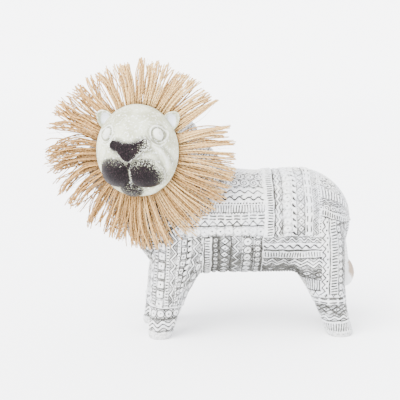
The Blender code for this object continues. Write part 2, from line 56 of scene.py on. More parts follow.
# Trunk, neck and legs, as the solid has them
TRUNK_REAR_X = 0.1315
TRUNK_FRONT_X = -0.046
TRUNK_REAR_CAP = 0.052
TRUNK_FRONT_CAP = 0.036
TRUNK_MID_Z = 0.0992
TRUNK_HALF_HEIGHT = 0.0472
TRUNK_HALF_WIDTH = 0.0385
SADDLE_DIP = 0.0028
SADDLE_X = 0.047
SADDLE_REACH = 0.020
NECK_LEAN = math.radians(35.1)
NECK_BASE = (-0.0045, 0.0923)
NECK_LENGTH = 0.125
NECK_HALF_LENGTHWAYS = 0.0515
NECK_HALF_WIDTH = 0.0360
NECK_TOP_CAP = 0.041
NECK_BASE_CAP = 0.030
LEG_SPREAD = 0.0235
HIP_INSET = 0.0010
HIP_CURVE = 1.4
FOOT_RINGS = ((0.0020, 0.95), (-0.0035, 0.72))
FRONT_LEG = (
    (0.084, -0.0150, 0.0270),
    (0.060, -0.0225, 0.0235),
    (0.050, -0.0262, 0.0205),
    (0.040, -0.0293, 0.0178),
    (0.030, -0.0320, 0.0155),
    (0.020, -0.0345, 0.0135),
    (0.010, -0.0364, 0.0120),
)
REAR_LEG = (
    (0.092, 0.0960, 0.0300),
    (0.072, 0.0985, 0.0270),
    (0.060, 0.1020, 0.0238),
    (0.050, 0.1052, 0.0202),
    (0.040, 0.1083, 0.0174),
    (0.030, 0.1112, 0.0153),
    (0.020, 0.1142, 0.0139),
    (0.010, 0.1172, 0.0130),
)
FAR_FRONT_LEG_STEP = -0.0045
FAR_REAR_LEG_STEP = 0.0030
TAIL_ROOT = (0.1215, 0.092)
TAIL_HALF_THICKNESS = 0.0058
TUFT_MIDDLE = (0.1285, 0.0505)
TUFT_HALF_THICKNESS = 0.0080
TUFT_HALF_HEIGHT = 0.0128

# Face
FACE_PLACE = Vector((-0.0552, -0.0440, 0.1671))
FACE_TURN = math.radians(-16.0)
FACE_HALF_WIDTH = 0.0345
FACE_HALF_HEIGHT = 0.0382
FACE_DEPTH = 0.0370
COLLAR_LENGTH = 0.0240
COLLAR_SHARE = 0.90
EAR_SIDE = 0.0264
EAR_SHIFT = 0.0006
EAR_HEIGHT = 0.0232
EAR_FORWARD = 0.0030
EAR_HALF_WIDTH = 0.0065
EAR_HALF_HEIGHT = 0.0100
EAR_THICKNESS = 0.0050
EAR_TILT = math.radians(22.0)

# Mesh fineness
RING_SIDES = 48
BLEND_VOXEL = 0.0024
BLEND_ROUNDS = 16
CARVING_LEVELS = 2
FACE_VOXEL = 0.00054
FACE_ROUNDS = 3

# Carving, in millimetres
MM = 0.001
LINE_HALF = 0.58
LINE_EDGE = 0.95
GROOVE_DEPTH = 1.35
GROUND_CUT = 0.58
STRAP_RISE = 0.90
STRAP_X = 50.9
FLANK_LINE = 75.2
FLANK_HEIGHT = 91.4
LEG_FRONT_X = -1.4

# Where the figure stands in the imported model
STAND = Vector((
    LION_BOX[1].x - TUFT_MIDDLE[0] - TUFT_HALF_THICKNESS,
    LION_BOX[1].y - TRUNK_HALF_WIDTH - 0.001,
    0.0,
))


def new_piece(name, mesh):
    piece = bpy.data.objects.new(name, mesh)
    bpy.context.scene.collection.objects.link(piece)
    return piece


def mesh_from(bm, name):
    mesh = bpy.data.meshes.new(name)
    bm.to_mesh(mesh)
    bm.free()
    return mesh


def outward_mesh(bm, name):
    bmesh.ops.recalc_face_normals(bm, faces=bm.faces[:])
    return mesh_from(bm, name)


def finished_mesh(obj):
    """The object's mesh with its modifiers applied; the object itself goes."""
    bpy.context.view_layer.update()
    graph = bpy.context.evaluated_depsgraph_get()
    mesh = bpy.data.meshes.new_from_object(obj.evaluated_get(graph))
    bpy.data.objects.remove(obj, do_unlink=True)
    return mesh


def points_of(mesh):
    points = np.empty(len(mesh.vertices) * 3, np.float32)
    mesh.vertices.foreach_get("co", points)
    return points.reshape(-1, 3).astype(float)


def normals_of(mesh):
    normals = np.empty(len(mesh.vertices) * 3, np.float32)
    mesh.vertex_normals.foreach_get("vector", normals)
    return normals.reshape(-1, 3).astype(float)


def set_points(mesh, points):
    mesh.vertices.foreach_set("co", points.astype(np.float32).ravel())
    mesh.update()


def set_shares(mesh, name, shares):
    """A number for each vertex that a material can read."""
    layer = mesh.attributes.new(name, "FLOAT", "POINT")
    layer.data.foreach_set("value", shares.astype(np.float32))


def soft_step(value, low, high):
    """0 below low, 1 above high and a smooth ramp between them."""
    share = np.clip((value - low) / (high - low), 0.0, 1.0)
    return share * share * (3.0 - 2.0 * share)


# Rounded forms

def add_loft(bm, rings):
    """Ellipses bridged in turn and closed at both ends; each is given by its middle and its half axes."""
    previous = None
    for middle, half_a, half_b in rings:
        ring = bmesh.ops.create_circle(bm, segments=RING_SIDES, radius=1.0)["verts"]
        for vert in ring:
            vert.co = middle + half_a * vert.co.x + half_b * vert.co.y
        members = set(ring)
        around = {edge for vert in ring for edge in vert.link_edges if edge.other_vert(vert) in members}
        edges = list(around)
        if previous is None:
            bmesh.ops.contextual_create(bm, geom=edges)
        else:
            bmesh.ops.bridge_loops(bm, edges=previous + edges)
        previous = edges
    bmesh.ops.contextual_create(bm, geom=previous)


def capped_stations(first, last, first_cap, last_cap, steps):
    """Places along a column with round ends, each with the share of its girth."""
    stations = []
    for i in range(1, steps):
        share = math.cos(0.5 * math.pi * i / steps)
        stations.append((first + first_cap * (1.0 - share), math.sqrt(1.0 - share * share)))
    for i in range(steps):
        place = first + first_cap + (last - last_cap - first - first_cap) * i / (steps - 1)
        stations.append((place, 1.0))
    for i in range(1, steps):
        share = math.sin(0.5 * math.pi * i / steps)
        stations.append((last - last_cap * (1.0 - share), math.sqrt(1.0 - share * share)))
    return stations


def back_dip(x):
    """The slight saddle in the back line."""
    return SADDLE_DIP * math.exp(-(((x - SADDLE_X) / SADDLE_REACH) ** 2))


def add_trunk(bm):
    rings = []
    for x, share in capped_stations(TRUNK_FRONT_X, TRUNK_REAR_X, TRUNK_FRONT_CAP, TRUNK_REAR_CAP, 9):
        middle = Vector((x, 0.0, TRUNK_MID_Z - 0.5 * back_dip(x)))
        half_a = Vector((0.0, TRUNK_HALF_WIDTH * share, 0.0))
        half_b = Vector((0.0, 0.0, TRUNK_HALF_HEIGHT * share - 0.5 * back_dip(x)))
        rings.append((middle, half_a, half_b))
    add_loft(bm, rings)


def neck_axes():
    along = Vector((-math.sin(NECK_LEAN), 0.0, math.cos(NECK_LEAN)))
    across = Vector((math.cos(NECK_LEAN), 0.0, math.sin(NECK_LEAN)))
    return along, across


def add_neck(bm):
    along, across = neck_axes()
    start = Vector((NECK_BASE[0], 0.0, NECK_BASE[1]))
    rings = []
    for s, share in capped_stations(-NECK_BASE_CAP, NECK_LENGTH, NECK_BASE_CAP, NECK_TOP_CAP, 9):
        half_a = across * (NECK_HALF_LENGTHWAYS * share)
        rings.append((start + along * s, half_a, Vector((0.0, NECK_HALF_WIDTH * share, 0.0))))
    add_loft(bm, rings)


def leg_spread(height, stations):
    """The leg's middle comes in towards the hip so that its outer side stays flush with the flank."""
    top_height, _, top_half = stations[0]
    top_spread = TRUNK_HALF_WIDTH - HIP_INSET - top_half
    share = min(1.0, height / top_height)
    return LEG_SPREAD + (top_spread - LEG_SPREAD) * share ** HIP_CURVE


def add_leg(bm, stations, side, step):
    """A tapering leg that leans in to its foot and runs on a little below the ground."""
    rings = []
    for height, x, half in stations:
        x += step * (1.0 - height / stations[0][0])
        middle = Vector((x, side * leg_spread(height, stations), height))
        rings.append((middle, Vector((half, 0.0, 0.0)), Vector((0.0, half, 0.0))))
    foot_x = 2.0 * stations[-1][1] - stations[-2][1] + step
    for height, share in FOOT_RINGS:
        half = stations[-1][2] * share
        middle = Vector((foot_x, side * LEG_SPREAD, height))
        rings.append((middle, Vector((half, 0.0, 0.0)), Vector((0.0, half, 0.0))))
    add_loft(bm, rings)


def add_tail(bm):
    """The tail lies down the middle of the rump."""
    root = Vector((TAIL_ROOT[0], 0.0, TAIL_ROOT[1]))
    tuft = Vector((TUFT_MIDDLE[0], 0.0, TUFT_MIDDLE[1]))
    half_a = Vector((TAIL_HALF_THICKNESS, 0.0, 0.0))
    half_b = Vector((0.0, TAIL_HALF_THICKNESS, 0.0))
    add_loft(bm, [(root.lerp(tuft, share), half_a, half_b) for share in (0.0, 0.5, 1.0)])


def fused(bm, voxel, rounds, levels=0):
    """Overlapping shapes made one skin, with soft joins."""
    obj = new_piece("fused", outward_mesh(bm, "fused"))
    remesh = obj.modifiers.new("Fuse", "REMESH")
    remesh.mode = "VOXEL"
    remesh.voxel_size = voxel
    smooth = obj.modifiers.new("Soften", "SMOOTH")
    smooth.factor = 0.5
    smooth.iterations = rounds
    if levels:
        finer = obj.modifiers.new("Finer", "SUBSURF")
        finer.levels = levels
        finer.render_levels = levels
    return finished_mesh(obj)


# Patterns of the carving: u runs along a band, w across it from its middle, and 1 is the bottom of a cut

BLUNT = 0.3
DISC_LINE_HALF = 0.46
LOZENGE_LINE_HALF = 0.40
SQUARE_LINE_HALF = 0.42
SQUARE_SHARE = 0.82
SCROLL_LINE_HALF = 0.42
SCROLL_PITCH = 2.2
BEAD_ROW_SHARE = 0.8


def nearest(value, pitch):
    """The distance to the nearest of evenly spaced lines."""
    return ((value / pitch + 0.5) % 1.0 - 0.5) * pitch


def cut_line(distance, half=LINE_HALF):
    return 1.0 - soft_step(np.abs(distance) - half, -0.5 * LINE_EDGE, 0.5 * LINE_EDGE)


def pit(away, floor, brim):
    """1 out to one distance from a middle, falling to 0 at another."""
    return 1.0 - soft_step(away, floor, brim)


def deepest(*cuts):
    return np.maximum.reduce(cuts)


def plain():
    return lambda u, w: np.zeros_like(u)


def lines_at(*offsets):
    return lambda u, w: deepest(*(cut_line(w - offset) for offset in offsets))


def lines_along(w, offsets):
    """One line along a curve, or a few that mark a ribbon, with the ground beside it sunk a little."""
    lines = [cut_line(w - offset) for offset in offsets]
    if len(offsets) == 1:
        return lines[0]
    outside = deepest(w - max(offsets), min(offsets) - w)
    return deepest(GROUND_CUT * soft_step(outside, 0.3, 1.5), *lines)


def waves(period, swing, *offsets):
    return lambda u, w: lines_along(w - swing * np.sin(2.0 * math.pi * u / period), offsets or (0.0,))


def zigzags(period, swing, *offsets):
    def cut(u, w):
        zigzag = swing * (4.0 * np.abs(nearest(u, period)) / period - 1.0)
        return lines_along(w - zigzag, offsets or (0.0,))
    return cut


def bars(pitch, reach=100.0, offset=0.0, half=LINE_HALF):
    """Cuts straight across a band, like the rungs of a ladder or flutes."""
    def cut(u, w):
        return cut_line(nearest(u, pitch), half) * pit(np.abs(w - offset), reach - BLUNT, reach + BLUNT)
    return cut


def dots(pitch, radius, *offsets):
    def cut(u, w):
        return deepest(*(
            pit(np.hypot(nearest(u, pitch), w - offset), radius - 0.3, radius + 0.35)
            for offset in offsets or (0.0,)
        ))
    return cut


def discs(pitch, radius, flatten=1.0, sunk=0.30, depth=0.9):
    """Flat discs, each with a fine ring round it and a dot in the middle, and pits between their edges."""
    def cut(u, w):
        away = np.hypot(nearest(u, pitch) * flatten, w)
        corner = np.hypot(nearest(u + 0.5 * pitch, pitch), np.abs(w) - radius)
        pits = (0.1 + depth) * deepest(pit(away, 0.45, 1.05), pit(corner, 0.5, 1.3))
        ground = sunk * soft_step(away - radius, 0.0, 0.8)
        return deepest(depth * cut_line(away - radius, DISC_LINE_HALF), pits, ground)
    return cut


def dashes(length, gap, *offsets):
    def cut(u, w):
        along = pit(np.abs(nearest(u, length + gap)), 0.5 * length - BLUNT, 0.5 * length + BLUNT)
        return along * deepest(*(cut_line(w - offset) for offset in offsets or (0.0,)))
    return cut


def lozenges(pitch, reach):
    """Diamonds point to point on a sunk ground, each with a dot in the middle."""
    def cut(u, w):
        away = (np.abs(nearest(u, pitch)) * 2.0 / pitch + np.abs(w) / reach) * 0.5 * reach
        dot = pit(np.hypot(nearest(u, pitch), w), 0.4, 1.0)
        ground = 0.55 * soft_step(away - 0.5 * reach, 0.0, 0.8)
        return deepest(cut_line(away - 0.5 * reach, LOZENGE_LINE_HALF), dot, ground)
    return cut


def wedges(pitch, reach, lean):
    """Short slanting strokes, deeper than the rest and thick at their upper end."""
    def cut(u, w):
        half = 0.3 + np.clip(0.5 - 0.5 * w / reach, 0.0, 1.0)
        inside = pit(np.abs(w), reach - 0.4, reach + 0.4)
        return 1.5 * inside * cut_line(nearest(u - lean * w, pitch), half)
    return cut


def deeper(pattern):
    return lambda u, w: 1.35 * pattern(u, w)


def squares(pitch, reach):
    """Squares side by side on a sunk ground, each with a dot in the middle."""
    def cut(u, w):
        away = np.maximum(np.abs(nearest(u, pitch)) * 2.0 * reach / pitch * 1.05, np.abs(w))
        edge = away - SQUARE_SHARE * reach
        dot = pit(np.hypot(nearest(u, pitch), w), 0.5, 1.1)
        return deepest(cut_line(edge, SQUARE_LINE_HALF), dot, 0.6 * soft_step(edge, 0.0, 0.8))
    return cut


def scrolls(cell):
    """Curling lines, a spiral to a cell, with every other row of cells set half a cell along."""
    def cut(u, w):
        row = np.floor(w / cell)
        shifted = u + 0.5 * cell * (row % 2.0)
        side, up = nearest(shifted, cell), nearest(w - 0.5 * cell, cell)
        away = np.hypot(side, up)
        turn = np.arctan2(up, side) / (2.0 * math.pi)
        coil = cut_line(nearest(away - SCROLL_PITCH * turn, SCROLL_PITCH), SCROLL_LINE_HALF)
        coil = coil * pit(away, 0.44 * cell, 0.50 * cell)
        return deepest(coil, 0.8 * soft_step(away, 0.47 * cell, 0.56 * cell))
    return cut


def beads(pitch):
    """Small pits set in a brick pattern."""
    def cut(u, w):
        row = np.floor(w / (BEAD_ROW_SHARE * pitch) + 0.5)
        side = nearest(u + 0.5 * pitch * (row % 2.0), pitch)
        up = w - row * BEAD_ROW_SHARE * pitch
        return pit(np.hypot(side, up), 0.25 * pitch - 0.2, 0.25 * pitch + 0.4)
    return cut


def both(*patterns):
    return lambda u, w: deepest(*(pattern(u, w) for pattern in patterns))


Band = collections.namedtuple("Band", "width pattern rise border", defaults=(0.0, 0.0))


def banded(u, v, start, bands):
    """Bands side by side from v = start on: how deep the surface is cut and how far it is raised."""
    cut, rise, place = np.zeros_like(u), np.zeros_like(u), start
    for band in bands:
        w = v - place - 0.5 * band.width
        half = 0.5 * band.width
        inside = 1.0 - soft_step(np.abs(w), half - 0.25, half + 0.25)
        cut = np.maximum(cut, band.pattern(u, w) * inside)
        if band.rise:
            rise = np.maximum(rise, band.rise * (1.0 - soft_step(np.abs(w), half - 0.7, half + 0.1)))
        place += band.width
        if band.border:
            cut = np.maximum(cut, band.border * cut_line(v - place, 0.5))
    return np.stack((cut, rise))


# What is carved where; bands run from the ridge of the back down, or from front to back

SHOULDER_BANDS = (
    Band(10.0, beads(3.4)),
    Band(22.0, scrolls(8.6)),
    Band(6.4, waves(8.0, 1.3)),
    Band(6.0, both(deeper(waves(8.0, 1.3)), dots(8.0, 0.7, -2.2))),
    Band(3.0, dots(2.6, 0.65)),
    Band(6.4, bars(2.3, half=0.42), border=0.8),
    Band(1.9, dots(2.6, 0.5)),
    Band(5.0, dashes(5.6, 1.3, -1.35, 1.35)),
    Band(5.0, both(zigzags(6.9, 1.9), dots(6.9, 0.7, -1.3)), border=1.2),
    Band(9.5, discs(6.9, 3.6, sunk=0.12, depth=0.5), border=1.0),
)
SADDLE_BANDS = (
    Band(9.0, bars(2.3, 2.3, 0.7, 0.48), rise=1.0, border=1.35),
    Band(6.6, waves(7.4, 0.9, -1.7, 1.3), border=1.0),
    Band(8.6, discs(6.9, 3.6, sunk=0.12, depth=0.6)),
    Band(3.7, deeper(wedges(6.1, 1.4, 0.8))),
    Band(7.4, both(lozenges(6.9, 3.3), lines_at(-3.5, 3.5))),
    Band(6.6, dashes(6.0, 2.6, -1.8, 1.8), rise=0.5),
    Band(5.6, zigzags(6.9, 2.0, -1.1, 1.1)),
    Band(2.6, dots(2.6, 0.65)),
)
RUMP_BANDS = (
    Band(8.0, beads(3.2)),
    Band(20.0, scrolls(8.2)),
    Band(11.0, bars(2.7, half=0.5)),
    Band(5.5, waves(6.2, 1.0, -1.2, 1.2)),
    Band(60.0, scrolls(7.0)),
)
HIND_BANDS = (
    Band(6.0, waves(7.6, 1.3, -0.9, 1.5)),
    Band(6.2, both(wedges(7.4, 1.5, 1.2), waves(7.4, 1.3)), border=1.25),
    Band(6.9, bars(2.3, 2.1, 0.0, 0.42), rise=1.1, border=1.3),
    Band(9.5, zigzags(9.8, 1.7, -3.0, 0.0, 3.0)),
    Band(10.2, both(zigzags(9.8, 1.6, -3.4, 3.4), lozenges(9.8, 2.2)), border=0.9),
    Band(10.8, bars(2.3, half=0.46), border=1.2),
    Band(6.6, both(zigzags(6.8, 1.9), dots(6.8, 0.8, -2.0)), border=0.9),
    Band(5.6, dashes(7.0, 1.6, -1.6, 1.6)),
    Band(9.0, both(waves(9.6, 1.2, -3.2, 3.4), lozenges(9.6, 2.1))),
    Band(5.6, waves(9.6, 1.0, -1.3, 1.5), border=1.1),
    Band(2.2, plain()),
    Band(7.4, bars(2.5, half=0.5)),
)
HIND_COLUMN_BANDS = (
    Band(7.2, both(zigzags(6.4, 1.5, -1.6), dots(6.4, 0.8, 1.4)), border=0.8),
    Band(8.4, bars(2.6, 2.9), rise=1.1, border=1.1),
    Band(7.4, discs(6.4, 2.9), border=1.0),
    Band(6.0, zigzags(6.4, 1.5, -0.8, 0.8), border=1.0),
    Band(8.0, lozenges(6.4, 3.3), border=1.0),
    Band(40.0, bars(2.6, half=0.5)),
)
BELLY_BANDS = (
    Band(1.6, plain(), border=0.8),
    Band(5.4, bars(2.8, 2.0), rise=0.8),
    Band(1.7, plain(), border=1.2),
    Band(5.0, discs(4.9, 2.0), border=1.35),
    Band(10.2, both(lozenges(6.6, 4.0), lines_at(-4.6)), border=1.35),
    Band(9.6, zigzags(9.4, 2.2, -1.9, 0.9)),
    Band(9.6, discs(8.0, 3.7, 0.95), border=1.0),
    Band(8.4, both(discs(6.2, 2.6), lines_at(3.6))),
)
FRONT_LEG_COLUMNS = (
    Band(11.0, zigzags(10.2, 2.0, -1.5, 1.5)),
    Band(10.0, discs(8.0, 3.4)),
    Band(10.0, lozenges(7.0, 3.8)),
    Band(3.0, bars(2.6, 1.4), rise=0.6),
    Band(10.5, squares(8.2, 4.6)),
    Band(2.9, bars(2.6, 1.1)),
    Band(7.6, zigzags(10.3, 2.2, -1.5, 1.3)),
    Band(2.0, dots(2.6, 0.5)),
    Band(6.6, both(squares(6.2, 2.9), lines_at(3.2))),
    Band(3.0, wedges(5.2, 1.3, 0.5)),
    Band(8.4, zigzags(10.2, 2.2, -1.4, 1.4)),
    Band(8.6, discs(8.0, 3.4)),
    Band(9.0, zigzags(10.2, 2.0, -1.5, 1.5)),
    Band(40.0, lozenges(7.0, 3.8)),
)
FRONT_LEG_START = -78.0
COLUMN_X = -27.0
COLUMN_HEIGHT = 75.0
COLUMN_GATHER = 0.0137
FRONT_FOOT_BANDS = (
    Band(1.6, plain(), rise=0.8, border=1.0),
    Band(9.6, discs(7.6, 3.5), border=1.1),
    Band(12.0, waves(11.0, 1.5, -3.6, 0.0, 3.6)),
)
FRONT_FOOT_TOP = 29.8
NECK_START = -6.0
NECK_BANDS = (
    Band(9.0, discs(7.4, 3.3), border=0.9),
    Band(8.0, zigzags(8.2, 1.6, -1.5, 1.5), border=0.9),
    Band(7.0, bars(2.6, 2.4), rise=0.9, border=1.1),
    Band(9.0, lozenges(7.4, 3.6), border=0.8),
    Band(9.0, zigzags(8.2, 1.6, -1.5, 1.5), border=1.1),
    Band(7.0, bars(2.6, 2.4), rise=0.9, border=1.1),
    Band(9.5, discs(7.4, 3.3), border=0.9),
    Band(10.0, scrolls(8.6), border=0.9),
    Band(8.0, waves(8.6, 1.2, -1.6, 1.6), border=0.7),
    Band(9.0, both(lozenges(7.4, 3.6), lines_at(-4.0))),
    Band(7.0, bars(2.6, 2.4), rise=0.9, border=1.1),
    Band(9.5, squares(7.6, 3.4), border=0.9),
    Band(8.0, zigzags(8.2, 1.6, -1.5, 1.5), border=0.9),
    Band(9.5, discs(7.4, 3.3), border=0.9),
    Band(20.0, waves(9.0, 1.2, -6.0, -3.0, 0.0, 3.0, 6.0)),
)
NECK_FRONT_X = -22.0
NECK_REAR_X = 22.0
NECK_LOW_END = 24.0
NECK_PART = 62.5
RUMP_X = 100.8
RUMP_TURN = 36.0
RUMP_STRAP_GIRTH = 54.3
RUMP_STRAP_SLOPE = 0.33
RUMP_STRAP_HALF = 3.5
HIND_COLUMN_END = 38.0
HIND_LEG_TOP = 52.0
HIND_LEG_X = 60.0
SLOW_SWING = 0.45
QUICK_SWING = 0.22
FEET_BARE = (1.0, 5.0)
TAIL_BARE_X = 0.1180
TAIL_BARE_HALF_WIDTH = 0.010
TAIL_BARE_TOP = 0.095
TAIL_CUT_SHARE = 0.35
BRUSHED_X = (56.0, 64.0, 96.0, 104.0)
BRUSHED_HEIGHT = (92.0, 104.0)
BRUSHED_SHARE = 0.30
# Heights over which the painted shade on surfaces that face down comes in.
UNDERSIDE_SHADE_HEIGHT = (0.035, 0.05)
# The feet are darker towards the ground: how much, and the height where that ends.
FOOT_DARKENING = 0.55
FOOT_DARKENING_TOP = 0.016


def along_leg(heights, stations, values):
    """A leg's measure at some heights, from what it is at each of the leg's stations."""
    known = [height / MM for height, _, _ in reversed(stations)]
    return np.interp(heights, known, [value / MM for value in reversed(values)])


def leg_spread_at(heights, stations):
    return along_leg(heights, stations, [leg_spread(height, stations) for height, _, _ in stations])


def round_leg(x, y, z, stations, far_step):
    """The way round a leg, which is the place along the body on the leg's outermost line."""
    near = along_leg(z, stations, [place for _, place, _ in stations])
    top = stations[0][0]
    far = along_leg(z, stations, [place + far_step * (1.0 - height / top) for height, place, _ in stations])
    middle = np.where(y < 0.0, near, far)
    turn = np.arctan2(x - middle, np.abs(y) - leg_spread_at(z, stations))
    return middle + turn * along_leg(z, stations, [half for _, _, half in stations])


def gathered(place, z):
    """Upright columns that come together towards the foot behind the foremost zigzag."""
    down = np.minimum(z - COLUMN_HEIGHT, 0.0)
    away = place - COLUMN_X - 0.02 * down
    return COLUMN_X + np.where(away > 0.0, away / np.maximum(1.0 + COLUMN_GATHER * down, 0.45), away)


def girth_at(y, z):
    """The way down from the ridge of the back round the trunk's oval."""
    turns = np.linspace(0.0, math.pi, 200)
    step_y = np.diff(TRUNK_HALF_WIDTH / MM * np.sin(turns))
    step_z = np.diff(TRUNK_HALF_HEIGHT / MM * np.cos(turns))
    lengths = np.concatenate(([0.0], np.cumsum(np.hypot(step_y, step_z))))
    turn = np.arctan2(np.abs(y) / TRUNK_HALF_WIDTH, (z - TRUNK_MID_Z / MM) / TRUNK_HALF_HEIGHT)
    return np.interp(turn, turns, lengths)


def hand_wobble(points):
    """Small swings that take the machine-made evenness off the carving."""
    x, y, z = points.T
    slow_one = np.sin(x / 7.3 + 0.9) * np.cos(z / 9.1 + y / 11.0)
    slow_two = np.sin(z / 6.1 + 2.1) * np.cos(x / 8.7 - y / 10.0)
    quick_one = np.sin(z / 1.9 + 2.0 * np.sin(x / 5.3))
    quick_two = np.sin(x / 2.1 + 2.0 * np.sin(z / 4.7))
    swings_x = SLOW_SWING * slow_one + QUICK_SWING * quick_one
    return swings_x, SLOW_SWING * slow_two + QUICK_SWING * quick_two


def hand_wear(points):
    """How much of a cut is left after the brush and the hand have gone over it."""
    x, y, z = points.T
    slow = np.sin(x / 3.1 + 1.7 * np.sin(z / 5.9 + y / 7.0)) * np.sin(z / 3.7 + 1.9 * np.sin(x / 6.7))
    quick = np.sin(x / 1.3 + 2.0 * np.sin(z / 1.9)) * np.sin(z / 1.1 + y / 1.5)
    return 0.95 + 0.22 * slow + 0.14 * quick


def round_rump(x, y):
    """The way from the flank round the rump; on the flank it is the place along the body."""
    return RUMP_X + RUMP_TURN * np.arctan2(x - RUMP_X, np.abs(y))


def trunk_relief(x, y, z, girth, under):
    """The trunk's four blocks of carving."""
    height = z + 0.176 * (TRUNK_HALF_WIDTH / MM - np.abs(y))
    relief = banded(x, girth, 0.0, SHOULDER_BANDS)
    behind = x > STRAP_X
    relief = np.where(behind, banded(girth, x, STRAP_X, SADDLE_BANDS), relief)
    relief = np.where(x > RUMP_X, banded(x, girth, 0.0, RUMP_BANDS), relief)

    strap_away = girth - RUMP_STRAP_GIRTH - RUMP_STRAP_SLOPE * (x - RUMP_X)
    on_strap = (x > RUMP_X - 1.5) & (np.abs(strap_away) < RUMP_STRAP_HALF + 0.5)
    strap = Band(2.0 * RUMP_STRAP_HALF, bars(2.3, 2.2), rise=1.0, border=1.0)
    relief = np.where(on_strap, banded(x, strap_away, -RUMP_STRAP_HALF, (strap,)), relief)

    low = girth > FLANK_LINE
    relief = np.where(low & ~behind, banded(girth, x, LEG_FRONT_X, BELLY_BANDS), relief)
    down = np.where(under, 19.4 + 0.87 * (girth - 97.6), FLANK_HEIGHT - height)
    relief = np.where(low & behind, banded(x, down, 0.0, HIND_BANDS), relief)
    column = (x > RUMP_X) & (strap_away > RUMP_STRAP_HALF + 0.5) & (height > HIND_COLUMN_END)
    return np.where(column, banded(z, round_rump(x, y), RUMP_X, HIND_COLUMN_BANDS), relief)


def hind_relief(x, y, z):
    around = round_leg(x, y, z, REAR_LEG, FAR_REAR_LEG_STEP)
    rows = banded(around, FLANK_HEIGHT - z, 0.0, HIND_BANDS)
    column = (np.abs(y) > 8.0) & (x > RUMP_X) & (z > HIND_COLUMN_END)
    return np.where(column, banded(z, round_rump(x, y), RUMP_X, HIND_COLUMN_BANDS), rows)


def fore_relief(x, y, z):
    around = round_leg(x, y, z, FRONT_LEG, FAR_FRONT_LEG_STEP)
    columns = banded(z, gathered(around, z), FRONT_LEG_START, FRONT_LEG_COLUMNS)
    foot = banded(around, FRONT_FOOT_TOP - z, 0.0, FRONT_FOOT_BANDS)
    return np.where(z < FRONT_FOOT_TOP, foot, columns)


def neck_relief(mm, up_neck):
    _, across = neck_axes()
    offset = mm - np.array((NECK_BASE[0], 0.0, NECK_BASE[1])) / MM
    turn = np.arctan2(mm[:, 1] / NECK_HALF_WIDTH, offset @ np.array(across) / NECK_HALF_LENGTHWAYS)
    around = turn * 0.5 * (NECK_HALF_WIDTH + NECK_HALF_LENGTHWAYS) / MM
    return banded(around, up_neck, NECK_START, NECK_BANDS)


def body_relief(points, normals):
    """How deep each point of the smooth body is cut and how far it is raised."""
    mm = points / MM
    wobble_one, wobble_two = hand_wobble(mm)
    x, y, z = mm[:, 0] + wobble_one, mm[:, 1], mm[:, 2] + wobble_two
    relief = trunk_relief(x, y, z, girth_at(y, z), normals[:, 2] < -0.6)
    relief = np.where((z < HIND_LEG_TOP) & (x > HIND_LEG_X), hind_relief(x, y, z), relief)
    relief = np.where((x < LEG_FRONT_X) & (z < FLANK_HEIGHT), fore_relief(x, y, z), relief)
    along, _ = neck_axes()
    up_neck = (mm - np.array((NECK_BASE[0], 0.0, NECK_BASE[1])) / MM) @ np.array(along)
    on_neck = ((up_neck > NECK_LOW_END) & (x < NECK_REAR_X)) | (x < NECK_FRONT_X)
    return np.where(on_neck & (z >= FLANK_HEIGHT), neck_relief(mm, up_neck), relief)


def model_body():
    """The carved skin of the whole body, before it is parted."""
    body = bmesh.new()
    add_trunk(body)
    add_neck(body)
    for stations, step in ((FRONT_LEG, FAR_FRONT_LEG_STEP), (REAR_LEG, FAR_REAR_LEG_STEP)):
        add_leg(body, stations, -1, 0.0)
        add_leg(body, stations, 1, step)
    add_tail(body)
    mesh = fused(body, BLEND_VOXEL, BLEND_ROUNDS, CARVING_LEVELS)
    points, normals = points_of(mesh), normals_of(mesh)
    cut, rise = body_relief(points, normals)
    cut = cut * hand_wear(points / MM)
    keep = soft_step(points[:, 2] / MM, *FEET_BARE)
    behind, middle = points[:, 0] > TAIL_BARE_X, np.abs(points[:, 1]) < TAIL_BARE_HALF_WIDTH
    tail = behind & middle & (points[:, 2] < TAIL_BARE_TOP)
    cut = np.where(tail, TAIL_CUT_SHARE * cut, cut) * keep
    rise = np.where(tail, 0.0, rise) * keep
    move = (STRAP_RISE * rise - GROOVE_DEPTH * cut) * MM
    set_points(mesh, points + normals * move[:, None])
    set_shares(mesh, "wash", cut * (1.0 - BRUSHED_SHARE * brushed_at(points / MM)))
    # Painted shade on the surfaces that face down, such as the belly.
    under = soft_step(-normals[:, 2], 0.0, 0.8) * soft_step(points[:, 2], *UNDERSIDE_SHADE_HEIGHT)
    # The feet are also made darker towards the ground.
    set_shares(mesh, "under", under + FOOT_DARKENING * (1.0 - soft_step(points[:, 2], 0.0, FOOT_DARKENING_TOP)))
    return mesh


def brushed_at(points):
    """Where more white was brushed over the carving, on the upper saddle."""
    start, full, fading, end = BRUSHED_X
    brushed = soft_step(points[:, 0], start, full) * (1.0 - soft_step(points[:, 0], fading, end))
    return brushed * soft_step(points[:, 2], *BRUSHED_HEIGHT)


# Whether a part of the body lies behind the strap, above the flank and up the neck (1), or not (-1)
BODY_PARTS = {
    "neck": (-1, 1, 1),
    "shoulders": (-1, 1, -1),
    "front_legs_and_chest": (-1, -1, -1),
    "back_and_rump": (1, 1, -1),
    "hind_legs": (1, -1, -1),
}


